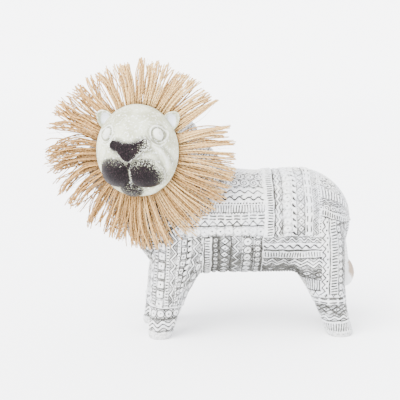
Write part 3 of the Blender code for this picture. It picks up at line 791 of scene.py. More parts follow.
def part_of(body, name, behind, above, up_neck):
    """One part of the body, closed where it meets the others."""
    bm = bmesh.new()
    bm.from_mesh(body)
    flank_z = (FLANK_HEIGHT + 0.3) * MM
    along, _ = neck_axes()
    neck_base = Vector((NECK_BASE[0], 0.0, NECK_BASE[1]))
    planes = [
        (Vector((STRAP_X * MM, 0.0, 0.0)), Vector((-behind, 0.0, 0.0))),
        (Vector((0.0, 0.0, flank_z)), Vector((0.0, 0.0, -above))),
        (neck_base + along * NECK_PART * MM, -up_neck * along),
        (Vector(), Vector((0.0, 0.0, -1.0))),
    ]
    for place, away in planes:
        geom = bm.verts[:] + bm.edges[:] + bm.faces[:]
        plane = {"plane_co": place, "plane_no": away}
        cut = bmesh.ops.bisect_plane(bm, geom=geom, dist=1e-7, clear_outer=True, **plane)
        edges = [e for e in cut["geom_cut"] if isinstance(e, bmesh.types.BMEdge)]
        bmesh.ops.holes_fill(bm, edges=edges, sides=0)
        for edge in edges:
            edge.smooth = False
    for face in bm.faces:
        face.smooth = True
    return new_piece(name, mesh_from(bm, name))


# Face

def face_frame():
    """Axes of the face: x to the right as it is looked at, y up, z out of the face."""
    sideways = Vector((math.cos(FACE_TURN), math.sin(FACE_TURN), 0.0))
    outwards = Vector((math.sin(FACE_TURN), -math.cos(FACE_TURN), 0.0))
    turn = Matrix((sideways, Vector((0.0, 0.0, 1.0)), outwards)).transposed().to_4x4()
    return Matrix.Translation(FACE_PLACE) @ turn


FEATURES_SIDE = 2.2
EYE_SIDE = 20.9
EYE_HEIGHT = 16.2
EYE_RADIUS = 5.6
EYE_RISE = 4.6
EYE_SOFTNESS = 1.6
PUPIL_SIDE = 1.0
PUPIL_RADIUS = 2.1
PUPIL_DROP = 0.7
LID_RADIUS = 7.0
LID_HALF_WIDTH = 0.95
LID_RISE = 1.8
LID_CORNER = 3.0
LID_CORNER_TURN = 0.42
SOCKET_RADIUS = 9.0
SOCKET_DROP = 1.6
POUCH_RADIUS = 9.0
POUCH_HALF_WIDTH = 0.75
POUCH_RISE = 1.0
BROW_SIDE = 14.0
BROW_HEIGHT = 24.0
BROW_HALF_WIDTH = 6.0
BROW_HALF_HEIGHT = 4.5
BROW_RISE = 0.8
BRIDGE_HALF_WIDTH = 9.5
BRIDGE_RISE = 2.4
NOSE_TOP = 10.6
NOSE_DIP = 0.9
NOSE_HALF_WIDTH = 11.2
NOSE_FULLNESS = 0.72
NOSE_RIGHT_FULLER = 2.4
NOSE_TIP = -4.3
NOSE_TIP_HALF_WIDTH = 1.6
NOSE_RISE = 4.6
NOSE_FALL = 0.25
NOSE_RIM_RISE = 0.9
NOSE_WINGS = ((-8.2, 7.2, 3.8), (13.2, 8.2, 4.6))
PAD_SIDE = 12.1
PAD_HEIGHT = -14.4
PAD_HALF_WIDTH = 12.9
PAD_HALF_HEIGHT = 11.8
PAD_FULLNESS = 2.3
PAD_RISE = 5.8
CHIN_SIDE = -1.4
CHIN_HEIGHT = -28.9
CHIN_HALF_WIDTH = 9.0
CHIN_HALF_HEIGHT = 6.6
CHIN_RISE = 3.6
FOLD_PLACE = (9.0, -9.0)
FOLD_RADIUS = 20.0
FOLD_SIDES = (12.0, 19.0)
FOLD_HEIGHTS = (-17.0, -6.0)
FOLD_LEFT_SHARE = 0.4
FOLD_PROFILE = ((1.0, 0.0, 1.6), (-1.0, 3.2, 2.0), (-0.7, -3.6, 2.4))
# Painted shade in the narrow creases and painted highlight on the ridges go by these.
CREASE_SHADE_REACH = 1.2
CREASE_SHADE_FULL = 0.30
# Painted shade in the face's broad hollows goes by these.
HOLLOW_SHADE_REACH = 3.4
HOLLOW_SHADE_FULL = 1.2
PAINT_SPREAD = 1.3
PAINT_MOST = 1.2
RIGHT_WING_FADE = 0.50
CHIN_PAINT = 0.70
GAP_FADE = 0.66
STAIN = 0.16
EAR_CUP = 1.45
EAR_CUP_SHARE = 0.92
EAR_NARROWING = 0.42
EAR_CORNER = 0.26


def dome(distance):
    """The profile of a round cap of unit height over unit radius."""
    return np.sqrt(np.clip(1.0 - distance ** 2, 0.0, 1.0))


def ridge(distance, half):
    return np.exp(-((distance / half) ** 2))


def dome_depth(side, height):
    """How far the bare dome stands out, in millimetres."""
    inside = 1.0 - (side * MM / FACE_HALF_WIDTH) ** 2 - (height * MM / FACE_HALF_HEIGHT) ** 2
    return FACE_DEPTH / MM * np.sqrt(np.clip(inside, 0.0, 1.0))


def eye_relief(side, height):
    """A round eyeball, a lid round it with a pointed outer corner, and a pouch below."""
    relief = np.zeros_like(side)
    for hand in (-1, 1):
        middle = FEATURES_SIDE + hand * EYE_SIDE
        depth = dome_depth(side, height) - dome_depth(np.array(middle), np.array(EYE_HEIGHT))
        across, up = (side - middle) * hand, height - EYE_HEIGHT
        away = np.sqrt(across ** 2 + up ** 2 + depth ** 2)
        outer = np.exp(-((np.arctan2(up + 0.4, across * 1.6) / LID_CORNER_TURN) ** 2)) * (across > 0.0)
        socket = -SOCKET_DROP * np.exp(-((away / SOCKET_RADIUS) ** 6))
        pupil = PUPIL_DROP * np.exp(-((np.hypot(across - PUPIL_SIDE, up) / PUPIL_RADIUS) ** 4))
        ball = EYE_RISE * dome(away / EYE_RADIUS) ** EYE_SOFTNESS - pupil
        rim = LID_RISE * ridge(away - LID_RADIUS - LID_CORNER * outer, LID_HALF_WIDTH)
        rim = rim * (0.60 + 0.40 * soft_step(up, -3.0, 2.0))
        below = soft_step(-up - 0.3 * across, 2.0, 5.5)
        pouch = POUCH_RISE * ridge(away - POUCH_RADIUS, POUCH_HALF_WIDTH) * below
        relief = relief + socket + ball + rim + pouch
    return relief


def nose_mask(side, height):
    """1 on the nose: a broad triangle, point down, with a round wing at each upper corner."""
    across = np.abs(side - FEATURES_SIDE)
    down = (NOSE_TOP - height) / (NOSE_TOP - NOSE_TIP)
    fuller = soft_step(side - FEATURES_SIDE, 0.0, 5.0) * soft_step(height, NOSE_TIP, 4.0)
    half_width = NOSE_HALF_WIDTH * np.clip(1.0 - down, 0.0, 1.0) ** NOSE_FULLNESS
    half_width = half_width + NOSE_TIP_HALF_WIDTH + NOSE_RIGHT_FULLER * fuller
    top = NOSE_TOP - NOSE_DIP + 1.6 * soft_step(across, 2.0, 10.0)
    body = soft_step(half_width - across, -0.7, 0.8) * soft_step(top - height, -0.8, 0.8)
    body = body * soft_step(height - NOSE_TIP, -1.4, 0.4)
    wings = [
        1.0 - soft_step(np.hypot(side - wing_side, height - wing_height) - radius, -0.8, 0.8)
        for wing_side, wing_height, radius in NOSE_WINGS
    ]
    return deepest(body, *wings)


def pad_away(side, height, hand):
    across = np.abs(side - FEATURES_SIDE - hand * PAD_SIDE) / PAD_HALF_WIDTH
    up = np.abs(height - PAD_HEIGHT) / PAD_HALF_HEIGHT
    return (across ** PAD_FULLNESS + up ** PAD_FULLNESS) ** (1.0 / PAD_FULLNESS)


def chin_away(side, height):
    across = (side - FEATURES_SIDE - CHIN_SIDE) / CHIN_HALF_WIDTH
    return np.hypot(across, (height - CHIN_HEIGHT) / CHIN_HALF_HEIGHT)


def fold_relief(side, height):
    """A cheek fold from the inner corner of each eye round the muzzle, hollow on both sides of it."""
    relief = np.zeros_like(side)
    for hand, share in ((-1, FOLD_LEFT_SHARE), (1, 1.0)):
        across = (side - FEATURES_SIDE) * hand
        away = np.hypot(across + FEATURES_SIDE - FOLD_PLACE[0], height - FOLD_PLACE[1]) - FOLD_RADIUS
        on_cheek = soft_step(across, *FOLD_SIDES) * soft_step(height, *FOLD_HEIGHTS) * share
        fold = sum(rise * ridge(away - place, half) for rise, place, half in FOLD_PROFILE)
        relief = relief + on_cheek * fold
    return relief


def face_relief(side, height):
    """How far the features stand out of the bare dome, in millimetres."""
    down = np.clip((NOSE_TOP - height) / (NOSE_TOP - NOSE_TIP), 0.0, 1.0)
    on_nose = nose_mask(side, height)
    across = side - FEATURES_SIDE
    nose = NOSE_RISE * on_nose * (1.0 - NOSE_FALL * down)
    rim = NOSE_RIM_RISE * ridge(on_nose - 0.12, 0.14) * soft_step(across, 4.0, 9.0)
    bridge = BRIDGE_RISE * ridge(across, BRIDGE_HALF_WIDTH)
    bridge = bridge * soft_step(height, 4.0, 11.0) * (1.0 - soft_step(height, 14.0, 31.0))
    soft_top = 1.0 + 0.9 * soft_step(height, -14.0, -3.0)
    pads = np.maximum(dome(pad_away(side, height, -1)), dome(pad_away(side, height, 1)))
    chin = CHIN_RISE * dome(chin_away(side, height))
    brow = BROW_RISE * ridge(np.abs(across) - BROW_SIDE, BROW_HALF_WIDTH)
    brow = brow * ridge(height - BROW_HEIGHT, BROW_HALF_HEIGHT)
    front = deepest(nose + rim, bridge, PAD_RISE * pads ** soft_top, chin)
    return front + eye_relief(side, height) + fold_relief(side, height) + brow


def crease_shares(side, height, reach, full):
    """How far each point lies in a crease of a certain width, or on an edge where it is less than 0."""
    turns = [0.25 * math.pi * i for i in range(8)]
    round_it = [face_relief(side + reach * math.cos(t), height + reach * math.sin(t)) for t in turns]
    return np.clip((np.mean(round_it, axis=0) - face_relief(side, height)) / full, -1.0, 1.0)


def paint_shares(side, height):
    """How thick the sponged paint is: full on the nose's left and on the pads, thin on its right wing."""
    across = side - FEATURES_SIDE
    far = PAINT_SPREAD
    nudges = ((-far, 0.0), (far, 0.0), (0.0, -far), (0.0, far), (0.0, 0.0))
    nose = np.mean([nose_mask(side + a, height + b) for a, b in nudges], axis=0)
    nose = nose * (1.0 - RIGHT_WING_FADE * soft_step(across - 0.5 * (height - 2.0), 0.0, 10.0))
    left = np.minimum(pad_away(side + 1.4, height, -1), pad_away(side, height, -1))
    left = PAINT_MOST * (1.0 - soft_step(left, 0.86, 1.12))
    pads = deepest(left, 1.0 - soft_step(pad_away(side, height - 0.6, 1), 0.84, 1.12))
    fade = 0.52 * soft_step(height, -15.0, -2.0) + 0.62 * soft_step(side, 16.0, 26.5)
    gap = GAP_FADE * ridge(side - 3.2 + 0.04 * (height + 14.0), 1.0)
    pads = pads * (1.0 - np.clip(fade, 0.0, 0.85)) * (1.0 - gap * (1.0 - soft_step(height, -9.0, -6.0)))
    chin = CHIN_PAINT * (1.0 - soft_step(chin_away(side, height), 0.85, 1.15))
    tip = ridge(across - 0.3, 1.6) * ridge(height + 8.0, 3.0)
    stain = STAIN * np.exp(-(((height + 9.0) / 13.0) ** 4) - ((across / 20.0) ** 4))
    return np.clip(deepest(nose, pads, chin, tip, stain), 0.0, PAINT_MOST)


def ear_place(side):
    place = Matrix.Translation((side * EAR_SIDE + EAR_SHIFT, EAR_HEIGHT, EAR_FORWARD))
    return place @ Matrix.Rotation(-side * EAR_TILT, 4, "Z")


def add_ear(bm, side):
    """A cupped leaf with a thin rim, broad at the top and narrow where it joins the cheek."""
    ear = bmesh.new()
    bmesh.ops.create_uvsphere(ear, u_segments=48, v_segments=32, radius=1.0)
    for vert in ear.verts:
        x, y, z = vert.co
        away = math.hypot(x, y)
        if z > 0.0:
            z -= EAR_CUP * max(0.0, 1.0 - (away / EAR_CUP_SHARE) ** 4) * z ** 0.25
        narrow = 1.0 - EAR_NARROWING * max(0.0, -y) ** 1.5
        corner = EAR_CORNER * max(0.0, x * side + y - 0.6)
        vert.co = (
            (x * narrow + corner * side) * EAR_HALF_WIDTH,
            (y + corner) * EAR_HALF_HEIGHT,
            z * EAR_THICKNESS,
        )
    ear.transform(ear_place(side))
    mesh = outward_mesh(ear, "ear")
    bm.from_mesh(mesh)
    bpy.data.meshes.remove(mesh)


def bare_head():
    """The smooth dome with its ears and the collar that the twine is glued round."""
    bm = bmesh.new()
    bmesh.ops.create_uvsphere(bm, u_segments=96, v_segments=64, radius=1.0)
    bmesh.ops.scale(bm, verts=bm.verts[:], vec=(FACE_HALF_WIDTH, FACE_HALF_HEIGHT, FACE_DEPTH))
    geom = bm.verts[:] + bm.edges[:] + bm.faces[:]
    cut = bmesh.ops.bisect_plane(bm, geom=geom, plane_no=(0.0, 0.0, -1.0), clear_outer=True)
    rim = [e for e in cut["geom_cut"] if isinstance(e, bmesh.types.BMEdge)]
    bmesh.ops.holes_fill(bm, edges=rim, sides=0)
    collar_a = Vector((FACE_HALF_WIDTH * COLLAR_SHARE, 0.0, 0.0))
    collar_b = Vector((0.0, FACE_HALF_HEIGHT * COLLAR_SHARE, 0.0))
    add_loft(bm, [(Vector((0.0, 0.0, depth)), collar_a, collar_b) for depth in (0.002, -COLLAR_LENGTH)])
    for side in (-1, 1):
        add_ear(bm, side)
    return fused(bm, FACE_VOXEL, FACE_ROUNDS)


def ear_cups(points):
    """1 inside the ears' cups, for points in the face's axes."""
    cups = np.zeros(len(points))
    for hand in (-1, 1):
        local = np.array(ear_place(hand).inverted())
        x, y, z = (points @ local[:3, :3].T + local[:3, 3]).T
        inside = pit(np.hypot(x / EAR_HALF_WIDTH, y / EAR_HALF_HEIGHT), 0.70, 0.90)
        cups = np.maximum(cups, inside * (np.abs(z / EAR_THICKNESS + 0.2) < 0.4))
    return cups


def model_head():
    """The face with its features, and what its paint goes by."""
    mesh = bare_head()
    mm = points_of(mesh) / MM
    radii = np.array((FACE_HALF_WIDTH, FACE_HALF_HEIGHT, FACE_DEPTH)) / MM
    shares = mm / radii
    away = np.linalg.norm(shares, axis=1)
    outwards = shares / radii
    outwards /= np.linalg.norm(outwards, axis=1)[:, None]
    on_dome = (1.0 - soft_step(np.abs(away - 1.0), 0.03, 0.08)) * soft_step(mm[:, 2], 0.3, 3.0)
    relief = face_relief(mm[:, 0], mm[:, 1]) * on_dome
    smooth_dome = mm / away[:, None]
    near = (1.0 - soft_step(np.abs(away - 1.0), 0.01, 0.03)) * soft_step(mm[:, 2], 0.5, 2.0)
    mm = mm + (smooth_dome - mm) * near[:, None]
    side, height = mm[:, 0].copy(), mm[:, 1].copy()
    mm = mm + outwards * relief[:, None]
    set_points(mesh, mm * MM)
    set_shares(mesh, "paint", paint_shares(side, height) * on_dome)
    # Painted shade in the creases and hollows, and painted highlight on the ridges, go by these shares.
    set_shares(mesh, "crease", crease_shares(side, height, CREASE_SHADE_REACH, CREASE_SHADE_FULL) * on_dome)
    set_shares(mesh, "hollow", crease_shares(side, height, HOLLOW_SHADE_REACH, HOLLOW_SHADE_FULL) * on_dome)
    set_shares(mesh, "ear", ear_cups(mm * MM) * (1.0 - on_dome))
    mesh.shade_smooth()
    mesh.transform(face_frame())
    return new_piece("face", mesh)


def model_tuft():
    """The smooth oval at the end of the tail."""
    bm = bmesh.new()
    bmesh.ops.create_uvsphere(bm, u_segments=64, v_segments=48, radius=1.0)
    for vert in bm.verts:
        x, y, z = vert.co
        narrow = 1.0 - 0.16 * max(0.0, z)
        vert.co = (
            TUFT_MIDDLE[0] + x * narrow * TUFT_HALF_THICKNESS,
            y * narrow * TUFT_HALF_THICKNESS,
            TUFT_MIDDLE[1] + z * TUFT_HALF_HEIGHT,
        )
    mesh = outward_mesh(bm, "tail_tuft")
    x, y, z = points_of(mesh).T
    out = 0.8 * (x - TUFT_MIDDLE[0]) / TUFT_HALF_THICKNESS - 0.3 * y / TUFT_HALF_THICKNESS
    set_shares(mesh, "worn", soft_step(out + 0.4 * (z - TUFT_MIDDLE[1]) / TUFT_HALF_HEIGHT, 0.30, 0.85))
    mesh.shade_smooth()
    return new_piece("tail_tuft", mesh)


# Mane

# Turns round the face are in degrees from its right side. A twine's radius, the lean and the droop are in
# metres, its twist is in radians, and other lengths are in millimetres.

Twine = collections.namedtuple("Twine", "count rings sides radius taper wild seed")
TWINE_ENDS = Twine(count=760, rings=10, sides=5, radius=0.00058, taper=0.82, wild=1.0, seed=11)
LOOSE_FIBRES = Twine(count=300, rings=7, sides=3, radius=0.00020, taper=0.5, wild=2.2, seed=23)
TUFT_SEED = 31
MANE_LAYERS = 4
LAYER_FRONT = 1.6
LAYER_STEP = 1.7
MANE_TUFTS = 50
MANE_HANG_AT = 215.0
MANE_HANG_SPAN = 42.0
MANE_MESS_AT = 172.0
MANE_MESS_SPAN = 62.0
MANE_CROWDING = 5.0
MANE_TIPS = (
    76.0, 76.0, 75.5, 76.5, 76.0, 72.5, 75.0, 76.0, 73.0, 77.0, 81.5, 84.0,
    86.0, 87.0, 85.0, 83.5, 84.0, 87.0, 89.0, 87.5, 85.5, 83.0, 80.0, 78.0,
)
MANE_GAPS = (
    (95.0, 2.2),
    (24.0, 4.5),
    (163.0, 1.6),
    (118.0, 1.4),
    (199.0, 2.0),
    (213.0, 1.8),
    (229.0, 2.2),
    (338.0, 1.2),
)
STRAY_SHARE = 0.25
STRAY_PULL = 0.2
MOST_PULL = 0.8
TIP_SCATTER = 1.2
LENGTH_SCATTER = 2.6
LAYER_LIFT = 1.3
LIFT_SCATTER = 0.9
BOW_SCATTER = 1.2
WIGGLE = 0.6
HANG_TURN = 7.0
TWINE_TWIST = 9.0
LEAN_BACK = 0.006
LEAN_BACK_MORE = 0.016
LEAN_BACK_AT = math.radians(-42.0)
DROOP = 0.0040
HANG_DROOP = 0.013


def strand_template(rings, sides):
    """A straight twine end along +Z from 0 to 1, with a radius of 1."""
    bm = bmesh.new()
    bmesh.ops.create_cone(bm, cap_ends=True, segments=sides, radius1=1.0, radius2=1.0, depth=1.0)
    bmesh.ops.translate(bm, verts=bm.verts[:], vec=(0.0, 0.0, 0.5))
    long_edges = [edge for edge in bm.edges if abs(edge.verts[0].co.z - edge.verts[1].co.z) > 0.5]
    bmesh.ops.subdivide_edges(bm, edges=long_edges, cuts=rings - 1)
    return outward_mesh(bm, "strand")


def gap_at(turn):
    """How far a strand's end is pushed aside, out of the gaps between tufts."""
    push = 0.0
    for middle, half in MANE_GAPS:
        away = (turn - middle + 180.0) % 360.0 - 180.0
        push += math.copysign(max(0.0, 2.0 * half - abs(away)), away)
    return push


def near_turn(turn, middle, span):
    """1 in a certain direction round the face, falling off to both sides of it."""
    return math.exp(-(((turn - middle) / span) ** 2))


def mane_tufts(chance):
    """Each tuft's far edge round the face, its middle, lean, added length, hold and curve."""
    widths = [chance.uniform(0.45, 1.6) for _ in range(MANE_TUFTS)]
    edge, tufts = 0.0, []
    for width in widths:
        middle = edge + 0.5 * width * 360.0 / sum(widths)
        edge += width * 360.0 / sum(widths)
        lean = chance.uniform(-1.6, 1.6)
        longer = chance.uniform(-3.5, 2.0)
        pull = chance.uniform(-0.1, 0.42)
        tufts.append((edge, middle, lean, longer, pull, chance.uniform(-4.0, 4.0)))
    return tufts


def reach_at(turn):
    """How far out the mane's edge lies in a direction."""
    place = (turn % 360.0) * len(MANE_TIPS) / 360.0
    low = int(place) % len(MANE_TIPS)
    return MANE_TIPS[low] + (MANE_TIPS[(low + 1) % len(MANE_TIPS)] - MANE_TIPS[low]) * (place % 1.0)


def strand_path(chance, tufts, turn, layer, rings, wild):
    """Points down the middle of one twine end, in the face's axes."""
    _, middle, lean, longer, pull, curve = next(tuft for tuft in tufts if turn <= tuft[0])
    if chance.random() < STRAY_SHARE:
        pull *= STRAY_PULL
    hanging = near_turn(turn, MANE_HANG_AT, MANE_HANG_SPAN)
    mess = near_turn(turn, MANE_MESS_AT, MANE_MESS_SPAN)
    wild *= 1.0 + 0.6 * hanging + 0.5 * mess
    lean *= 1.0 + 2.0 * mess
    pull = min(MOST_PULL, pull + 0.35 * mess)
    tip_turn = turn + pull * (middle - turn) + lean + chance.gauss(0.0, TIP_SCATTER * wild)
    tip_turn += HANG_TURN * hanging
    tip_turn += gap_at(tip_turn)
    reach = (reach_at(tip_turn) + longer - abs(chance.gauss(0.0, LENGTH_SCATTER * wild))) * MM
    depth = -(LAYER_FRONT + LAYER_STEP * layer) * MM
    start, end = math.radians(turn), math.radians(tip_turn)
    root = Vector((math.cos(start) * FACE_HALF_WIDTH, math.sin(start) * FACE_HALF_HEIGHT, 0.0))
    root = root * (COLLAR_SHARE + 0.01) + Vector((0.0, 0.0, depth))
    tip = Vector((math.cos(end) * reach, math.sin(end) * reach, depth))
    lift = (1.5 - layer) * LAYER_LIFT * MM + chance.gauss(0.0, LIFT_SCATTER) * MM * wild
    lean_back = LEAN_BACK + LEAN_BACK_MORE * max(0.0, math.cos(end - LEAN_BACK_AT))
    sideways = Vector((-math.sin(end), math.cos(end), 0.0)) * MM
    bow = curve * (0.25 + mess) + chance.gauss(0.0, BOW_SCATTER * wild)
    wiggle = chance.gauss(0.0, WIGGLE * wild)
    kink = chance.gauss(0.0, 0.15 + 1.0 * mess + 0.6 * hanging)
    kink_at = chance.uniform(0.0, 6.28)
    droop = Vector((0.0, -1.0, 0.0)) * (DROOP * abs(math.cos(end)) + HANG_DROOP * hanging)
    points = []
    for i in range(rings + 1):
        share = i / rings
        point = root.lerp(tip, share)
        point += sideways * (bow * math.sin(math.pi * share) + wiggle * share * math.sin(5.0 * share + bow))
        point += sideways * (kink * share * math.sin(11.0 * share + kink_at))
        point += droop * (share * share - share)
        point.z += lift * math.sin(0.5 * math.pi * share) - lean_back * share * share
        points.append(point)
    return points


def frames_along(points):
    """A side and an up vector at each point of a path."""
    frames = []
    for i, point in enumerate(points):
        ahead = points[min(i + 1, len(points) - 1)] - points[max(i - 1, 0)]
        ahead.normalize()
        side = ahead.cross(Vector((0.0, 0.0, 1.0))).normalized()
        frames.append((side, side.cross(ahead)))
    return frames


def tone_at(turn, chance):
    """How pale a twine end is: paler up the mane and darker down it, as painted light and shade, and darker
    where it hangs and where it is tangled.
    """
    mess = near_turn(turn, MANE_MESS_AT, MANE_MESS_SPAN)
    hanging = near_turn(turn, MANE_HANG_AT, MANE_HANG_SPAN)
    # The sine term is painted light and shade: ends up the mane are made paler and ends down it darker.
    return chance.random() + 0.15 + 0.28 * math.sin(math.radians(turn)) - 0.85 * mess - 0.30 * hanging


def bundle(name, twine):
    """Many twine ends as one mesh, each bent from the same straight one."""
    chance = random.Random(twine.seed)
    tufts = mane_tufts(random.Random(TUFT_SEED))
    template = strand_template(twine.rings, twine.sides)
    straight = points_of(template)
    ring_of = np.rint(straight[:, 2] * twine.rings).astype(int)
    bm = bmesh.new()
    for _ in range(twine.count):
        bm.from_mesh(template)
    mesh = mesh_from(bm, name)
    placed = np.empty((twine.count, len(straight), 3))
    tone = np.empty((twine.count, len(straight)))
    along = np.tile(straight[:, 2], (twine.count, 1))
    for index in range(twine.count):
        turn = 360.0 * (index + 0.35 * chance.random()) / twine.count
        turn = (turn + MANE_CROWDING * math.sin(math.radians(MANE_MESS_AT - turn))) % 360.0
        path = strand_path(chance, tufts, turn, index % MANE_LAYERS, twine.rings, twine.wild)
        frames = frames_along(path)
        middle = np.array([path[i] for i in ring_of])
        side = np.array([frames[i][0] for i in ring_of])
        up = np.array([frames[i][1] for i in ring_of])
        size = twine.radius * chance.uniform(0.75, 1.15) * (1.0 - (1.0 - twine.taper) * straight[:, 2] ** 2)
        twist = chance.uniform(0.0, 6.28) + straight[:, 2] * TWINE_TWIST
        x = straight[:, 0] * np.cos(twist) - straight[:, 1] * np.sin(twist)
        y = straight[:, 0] * np.sin(twist) + straight[:, 1] * np.cos(twist)
        placed[index] = middle + side * (x * size)[:, None] + up * (y * size)[:, None]
        tone[index] = tone_at(turn, chance)
    set_points(mesh, placed.reshape(-1, 3))
    set_shares(mesh, "tone", tone.ravel())
    set_shares(mesh, "along", along.ravel())
    wrap_round(mesh, straight, template, twine.count)
    mesh.shade_smooth()
    mesh.transform(face_frame())
    bpy.data.meshes.remove(template)
    return new_piece(name, mesh)


def wrap_round(mesh, straight, template, count):
    """A UV map with u round each twine end and v along it."""
    corners = np.empty(len(template.loops), int)
    template.loops.foreach_get("vertex_index", corners)
    turn = np.arctan2(straight[:, 1], straight[:, 0]) / (2.0 * math.pi) % 1.0
    u = turn[corners]
    for polygon in template.polygons:
        own = slice(polygon.loop_start, polygon.loop_start + polygon.loop_total)
        if np.ptp(u[own]) > 0.5:
            u[own] = np.where(u[own] < 0.5, u[own] + 1.0, u[own])
    uv = np.stack((u, straight[corners, 2]), axis=1)
    layer = mesh.uv_layers.new(name="wrap")
    layer.data.foreach_set("uv", np.tile(uv, (count, 1)).astype(np.float32).ravel())


# Materials

class Value:
    """A number that varies over a surface; Python's operators add the nodes that work on it."""

    def __init__(self, finish, socket):
        self.finish = finish
        self.socket = socket

    def worked(self, operation, other=0.0):
        node = self.finish.node("ShaderNodeMath", {"operation": operation}, {0: self, 1: other})
        return Value(self.finish, node.outputs[0])

    def __add__(self, other):
        return self.worked("ADD", other)

    def __mul__(self, other):
        return self.worked("MULTIPLY", other)

    def __sub__(self, other):
        return self.worked("SUBTRACT", other)

    def __rsub__(self, other):
        return self * -1.0 + other

    __radd__ = __add__
    __rmul__ = __mul__

    def ramp(self, low, high):
        """0 below low and 1 above high, with a smooth ramp between."""
        settings = {"interpolation_type": "SMOOTHSTEP"}
        inputs = {"Value": self, "From Min": low, "From Max": high}
        node = self.finish.node("ShaderNodeMapRange", settings, inputs)
        return Value(self.finish, node.outputs["Result"])


class Finish:
    """One material and its nodes."""

    def __init__(self, name, roughness, shine):
        self.material = bpy.data.materials.new(name)
        self.material.use_nodes = True
        self.tree = self.material.node_tree
        self.shader = self.tree.nodes["Principled BSDF"]
        self.shader.inputs["Roughness"].default_value = roughness
        self.shader.inputs["Specular IOR Level"].default_value = shine
        self.place = self.node("ShaderNodeTexCoord").outputs["Object"]

    def node(self, kind, settings=None, inputs=None):
        made = self.tree.nodes.new(kind)
        for key, value in (settings or {}).items():
            setattr(made, key, value)
        for key, value in (inputs or {}).items():
            self.feed(made.inputs[key], value)
        return made

    def feed(self, socket, value):
        source = value.socket if isinstance(value, Value) else value
        if isinstance(source, bpy.types.NodeSocket):
            self.tree.links.new(source, socket)
        else:
            socket.default_value = source

    def attribute(self, name):
        return Value(self, self.node("ShaderNodeAttribute", {"attribute_name": name}).outputs["Fac"])

    def noise(self, scale, detail=2.0, place=None):
        inputs = {"Vector": place or self.place, "Scale": scale, "Detail": detail}
        return Value(self, self.node("ShaderNodeTexNoise", None, inputs).outputs["Fac"])

    def mixed(self, share, first, second):
        node = self.node("ShaderNodeMix", {"data_type": "RGBA"}, {"Factor": share})
        self.feed(node.inputs[6], first)
        self.feed(node.inputs[7], second)
        return node.outputs[2]

    def bump(self, height, distance):
        node = self.node("ShaderNodeBump", None, {"Height": height, "Distance": distance, "Strength": 1.0})
        self.feed(self.shader.inputs["Normal"], node.outputs["Normal"])

    def colour(self, value):
        self.feed(self.shader.inputs["Base Color"], value)
        return self.material


def whitewash():
    """Grey resin with white brushed over it: the cuts stay grey, with painted shade on the surfaces that face
    down and the feet darker towards the ground.
    """
    finish = Finish("whitewashed resin", 0.80, 0.15)
    cut, under = finish.attribute("wash"), finish.attribute("under")
    blotch, grain, speck = finish.noise(55.0, 3.0), finish.noise(520.0, 3.0), finish.noise(1400.0, 2.0)
    white = finish.mixed(blotch.ramp(0.35, 0.68), (0.655, 0.665, 0.68, 1.0), (0.715, 0.71, 0.685, 1.0))
    grey = finish.mixed(grain.ramp(0.35, 0.65), (0.022, 0.022, 0.020, 1.0), (0.08, 0.078, 0.07, 1.0))
    share = (cut * (0.72 + 0.5 * blotch)).ramp(0.0, 1.05) + grain.ramp(0.36, 0.66) * 0.30
    # under adds painted shade to the underside and makes the feet darker towards the ground.
    share = share + speck.ramp(0.48, 0.72) * 0.30 + under * 0.33
    painted = finish.mixed(share.ramp(0.0, 1.0), white, grey)
    finish.bump(grain * 0.7 + speck * 0.3, 0.00040)
    return finish.colour(painted)


def painted_face():
    """Cream satin paint with pale specks, painted shade in its creases and hollows and painted highlight on
    its ridges, and dark paint sponged over the muzzle.
    """
    finish = Finish("painted face", 0.42, 0.08)
    cloud, fleck, sponge = finish.noise(60.0, 4.0), finish.noise(560.0, 4.0), finish.noise(1250.0, 2.0)
    cream = finish.mixed(cloud.ramp(0.40, 0.62), (0.325, 0.33, 0.22, 1.0), (0.49, 0.505, 0.375, 1.0))
    # Painted shade in the broad hollows of the face.
    hollow = finish.attribute("hollow")
    cream = finish.mixed(hollow.ramp(0.02, 0.9) * 0.75, cream, (0.17, 0.17, 0.12, 1.0))
    cream = finish.mixed(fleck.ramp(0.54, 0.66) * 0.9, cream, (0.70, 0.71, 0.69, 1.0))
    # Painted shade in the narrow creases, and painted highlight on the ridges and lids.
    crease = finish.attribute("crease")
    cream = finish.mixed(crease.ramp(0.08, 1.0) * 0.24, cream, (0.15, 0.15, 0.11, 1.0))
    cream = finish.mixed((crease * -1.0).ramp(0.15, 1.0) * 0.6, cream, (0.70, 0.71, 0.68, 1.0))
    cream = finish.mixed(finish.attribute("ear"), cream, (0.68, 0.705, 0.76, 1.0))
    dark = finish.mixed(sponge.ramp(0.48, 0.70), (0.002, 0.001, 0.0015, 1.0), (0.022, 0.013, 0.015, 1.0))
    paint = finish.attribute("paint")
    share = paint * 1.68 + (sponge - 0.5) * 3.4 + (fleck - 0.5) * 0.7
    share = share.ramp(0.36, 0.98) * paint.ramp(0.02, 0.25)
    finish.bump(fleck * 0.5 + sponge * 0.5, 0.00008)
    return finish.colour(finish.mixed(share, cream, dark))


def tuft_white():
    """White, worn to brown on the outermost side."""
    finish = Finish("worn white", 0.55, 0.3)
    cloud, fleck = finish.noise(110.0, 4.0), finish.noise(700.0, 3.0)
    white = finish.mixed(cloud, (0.62, 0.625, 0.64, 1.0), (0.67, 0.67, 0.66, 1.0))
    share = (finish.attribute("worn") * 1.1 + (cloud - 0.5) * 1.4 + (fleck - 0.5) * 0.6).ramp(0.25, 0.95)
    finish.bump(fleck, 0.00008)
    return finish.colour(finish.mixed(share * 0.85, white, (0.20, 0.125, 0.060, 1.0)))


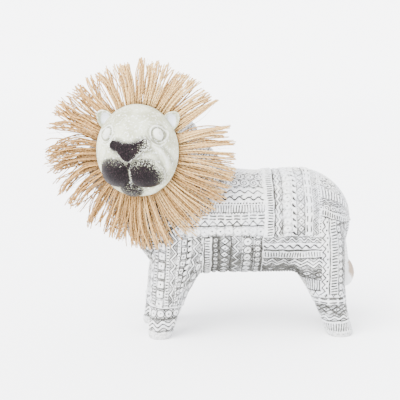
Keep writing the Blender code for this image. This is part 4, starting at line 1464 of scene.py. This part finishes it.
def twine():
    """Two-ply jute: fine slanting fibres, painted shade in the grooves of the twist and near the root, and
    darker from one end to the next.
    """
    finish = Finish("jute twine", 0.88, 0.10)
    wrap = finish.node("ShaderNodeUVMap", {"uv_map": "wrap"}).outputs["UV"]
    split = finish.node("ShaderNodeSeparateXYZ", None, {"Vector": wrap})
    u, v = (Value(finish, split.outputs[axis]) for axis in ("X", "Y"))
    ply = ((u * 2.0 + v * 16.0) * (2.0 * math.pi)).worked("SINE")
    fibre = finish.noise(2400.0, 2.0)
    tone, along = finish.attribute("tone"), finish.attribute("along")
    pale = finish.mixed(tone, (0.53, 0.30, 0.105, 1.0), (0.82, 0.57, 0.26, 1.0))
    # The twist's grooves get painted shade; the fibre noise is the jute's own tone.
    shade = fibre.ramp(0.35, 0.7) * 0.28 + (1.0 - ply.ramp(-0.8, 0.8)) * 0.28
    pale = finish.mixed((tone * -1.0).ramp(-0.2, 0.6) * 0.7, pale, (0.26, 0.165, 0.08, 1.0))
    colour = finish.mixed(shade, pale, (0.20, 0.095, 0.03, 1.0))
    # Painted shade near the root, where the twine ends meet the face.
    root = (1.0 - along.ramp(0.02, 0.26)) * 0.6
    colour = finish.mixed(root, colour, (0.12, 0.055, 0.02, 1.0))
    finish.bump(ply * 0.6 + fibre * 0.5, 0.00025)
    return finish.colour(colour)


def floor_white():
    finish = Finish("pale floor", 0.9, 0.0)
    return finish.colour(finish.mixed(finish.noise(3.0), (0.955, 0.955, 0.955, 1.0), (0.97, 0.97, 0.97, 1.0)))


# Stage

CAMERA_AZIMUTH = math.radians(-3.0)
CAMERA_ELEVATION = math.radians(10.0)
CAMERA_DISTANCE = 0.9
CAMERA_LENS = 36.0 * (900.0 / 0.88) / 400.0
LOOK_AT = Vector((-0.002, 0.0, 0.117))
SENSOR_WIDTH = 36.0
FLOOR_FRONT = -6.0
FLOOR_WIDTH = 12.0
FLOOR_BEND = 3.0
BEND_RADIUS = 1.0
BEND_STEPS = 5
WALL_TOP = 5.0
WORLD_COLOUR = (0.95, 0.96, 1.0, 1.0)
WORLD_STRENGTH = 4.1
SOFTBOX_PLACE = (-0.50, -0.45, 0.74)
SOFTBOX_SPREAD = math.radians(50.0)
SOFTBOX_STRENGTH = 9.6


def set_camera():
    data = bpy.data.cameras.new("camera")
    data.lens = CAMERA_LENS
    data.sensor_width = SENSOR_WIDTH
    data.clip_start = 0.01
    camera = bpy.data.objects.new("camera", data)
    back = Vector((
        math.sin(CAMERA_AZIMUTH) * math.cos(CAMERA_ELEVATION),
        -math.cos(CAMERA_AZIMUTH) * math.cos(CAMERA_ELEVATION),
        math.sin(CAMERA_ELEVATION),
    ))
    camera.location = LOOK_AT + STAND + back * CAMERA_DISTANCE
    camera.rotation_euler = (-back).to_track_quat("-Z", "Y").to_euler()
    bpy.context.scene.collection.objects.link(camera)
    bpy.context.scene.camera = camera


def add_sun(name, place, spread, strength):
    """Soft even light from one side."""
    data = bpy.data.lights.new(name, "SUN")
    data.angle = spread
    data.energy = strength
    light = bpy.data.objects.new(name, data)
    light.rotation_euler = (-Vector(place)).to_track_quat("-Z", "Y").to_euler()
    bpy.context.scene.collection.objects.link(light)


def model_floor():
    """A pale floor that sweeps up into a wall far behind the figure."""
    bm = bmesh.new()
    turns = [0.5 * math.pi * i / BEND_STEPS for i in range(1, BEND_STEPS + 1)]
    bend = [(FLOOR_BEND + BEND_RADIUS * math.sin(t), BEND_RADIUS * (1.0 - math.cos(t))) for t in turns]
    line = [(FLOOR_FRONT, 0.0), (FLOOR_BEND, 0.0)] + bend + [(FLOOR_BEND + BEND_RADIUS, WALL_TOP)]
    verts = [bm.verts.new((-0.5 * FLOOR_WIDTH, y, z)) for y, z in line]
    edges = [bm.edges.new(pair) for pair in zip(verts, verts[1:])]
    swept = bmesh.ops.extrude_edge_only(bm, edges=edges)["geom"]
    moved = [item for item in swept if isinstance(item, bmesh.types.BMVert)]
    bmesh.ops.translate(bm, verts=moved, vec=(FLOOR_WIDTH, 0.0, 0.0))
    floor = new_piece("floor", outward_mesh(bm, "floor"))
    floor.data.shade_smooth()
    return floor


def set_stage():
    floor = model_floor()
    floor.data.materials.append(floor_white())
    world = bpy.data.worlds.new("studio")
    world.use_nodes = True
    background = world.node_tree.nodes["Background"]
    background.inputs["Color"].default_value = WORLD_COLOUR
    background.inputs["Strength"].default_value = WORLD_STRENGTH
    bpy.context.scene.world = world
    add_sun("softbox", SOFTBOX_PLACE, SOFTBOX_SPREAD, SOFTBOX_STRENGTH)


def dress(piece, node, material):
    """Stands a finished piece in its place, gives it its material, hangs it under the root and hides the part
    it stands for.
    """
    piece.data.transform(Matrix.Translation(STAND))
    piece.data.materials.clear()
    piece.data.materials.append(material)
    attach(piece, "root")
    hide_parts(node)


def main():
    resin = whitewash()
    body = model_body()
    for name, sides in BODY_PARTS.items():
        dress(part_of(body, name, *sides), "lion", resin)
    bpy.data.meshes.remove(body)
    dress(model_head(), "lion", painted_face())
    dress(model_tuft(), "lion", tuft_white())
    jute = twine()
    dress(bundle("jute_mane", TWINE_ENDS), "mane", jute)
    dress(bundle("loose_fibres", LOOSE_FIBRES), "mane", jute)
    set_stage()
    set_camera()


main()
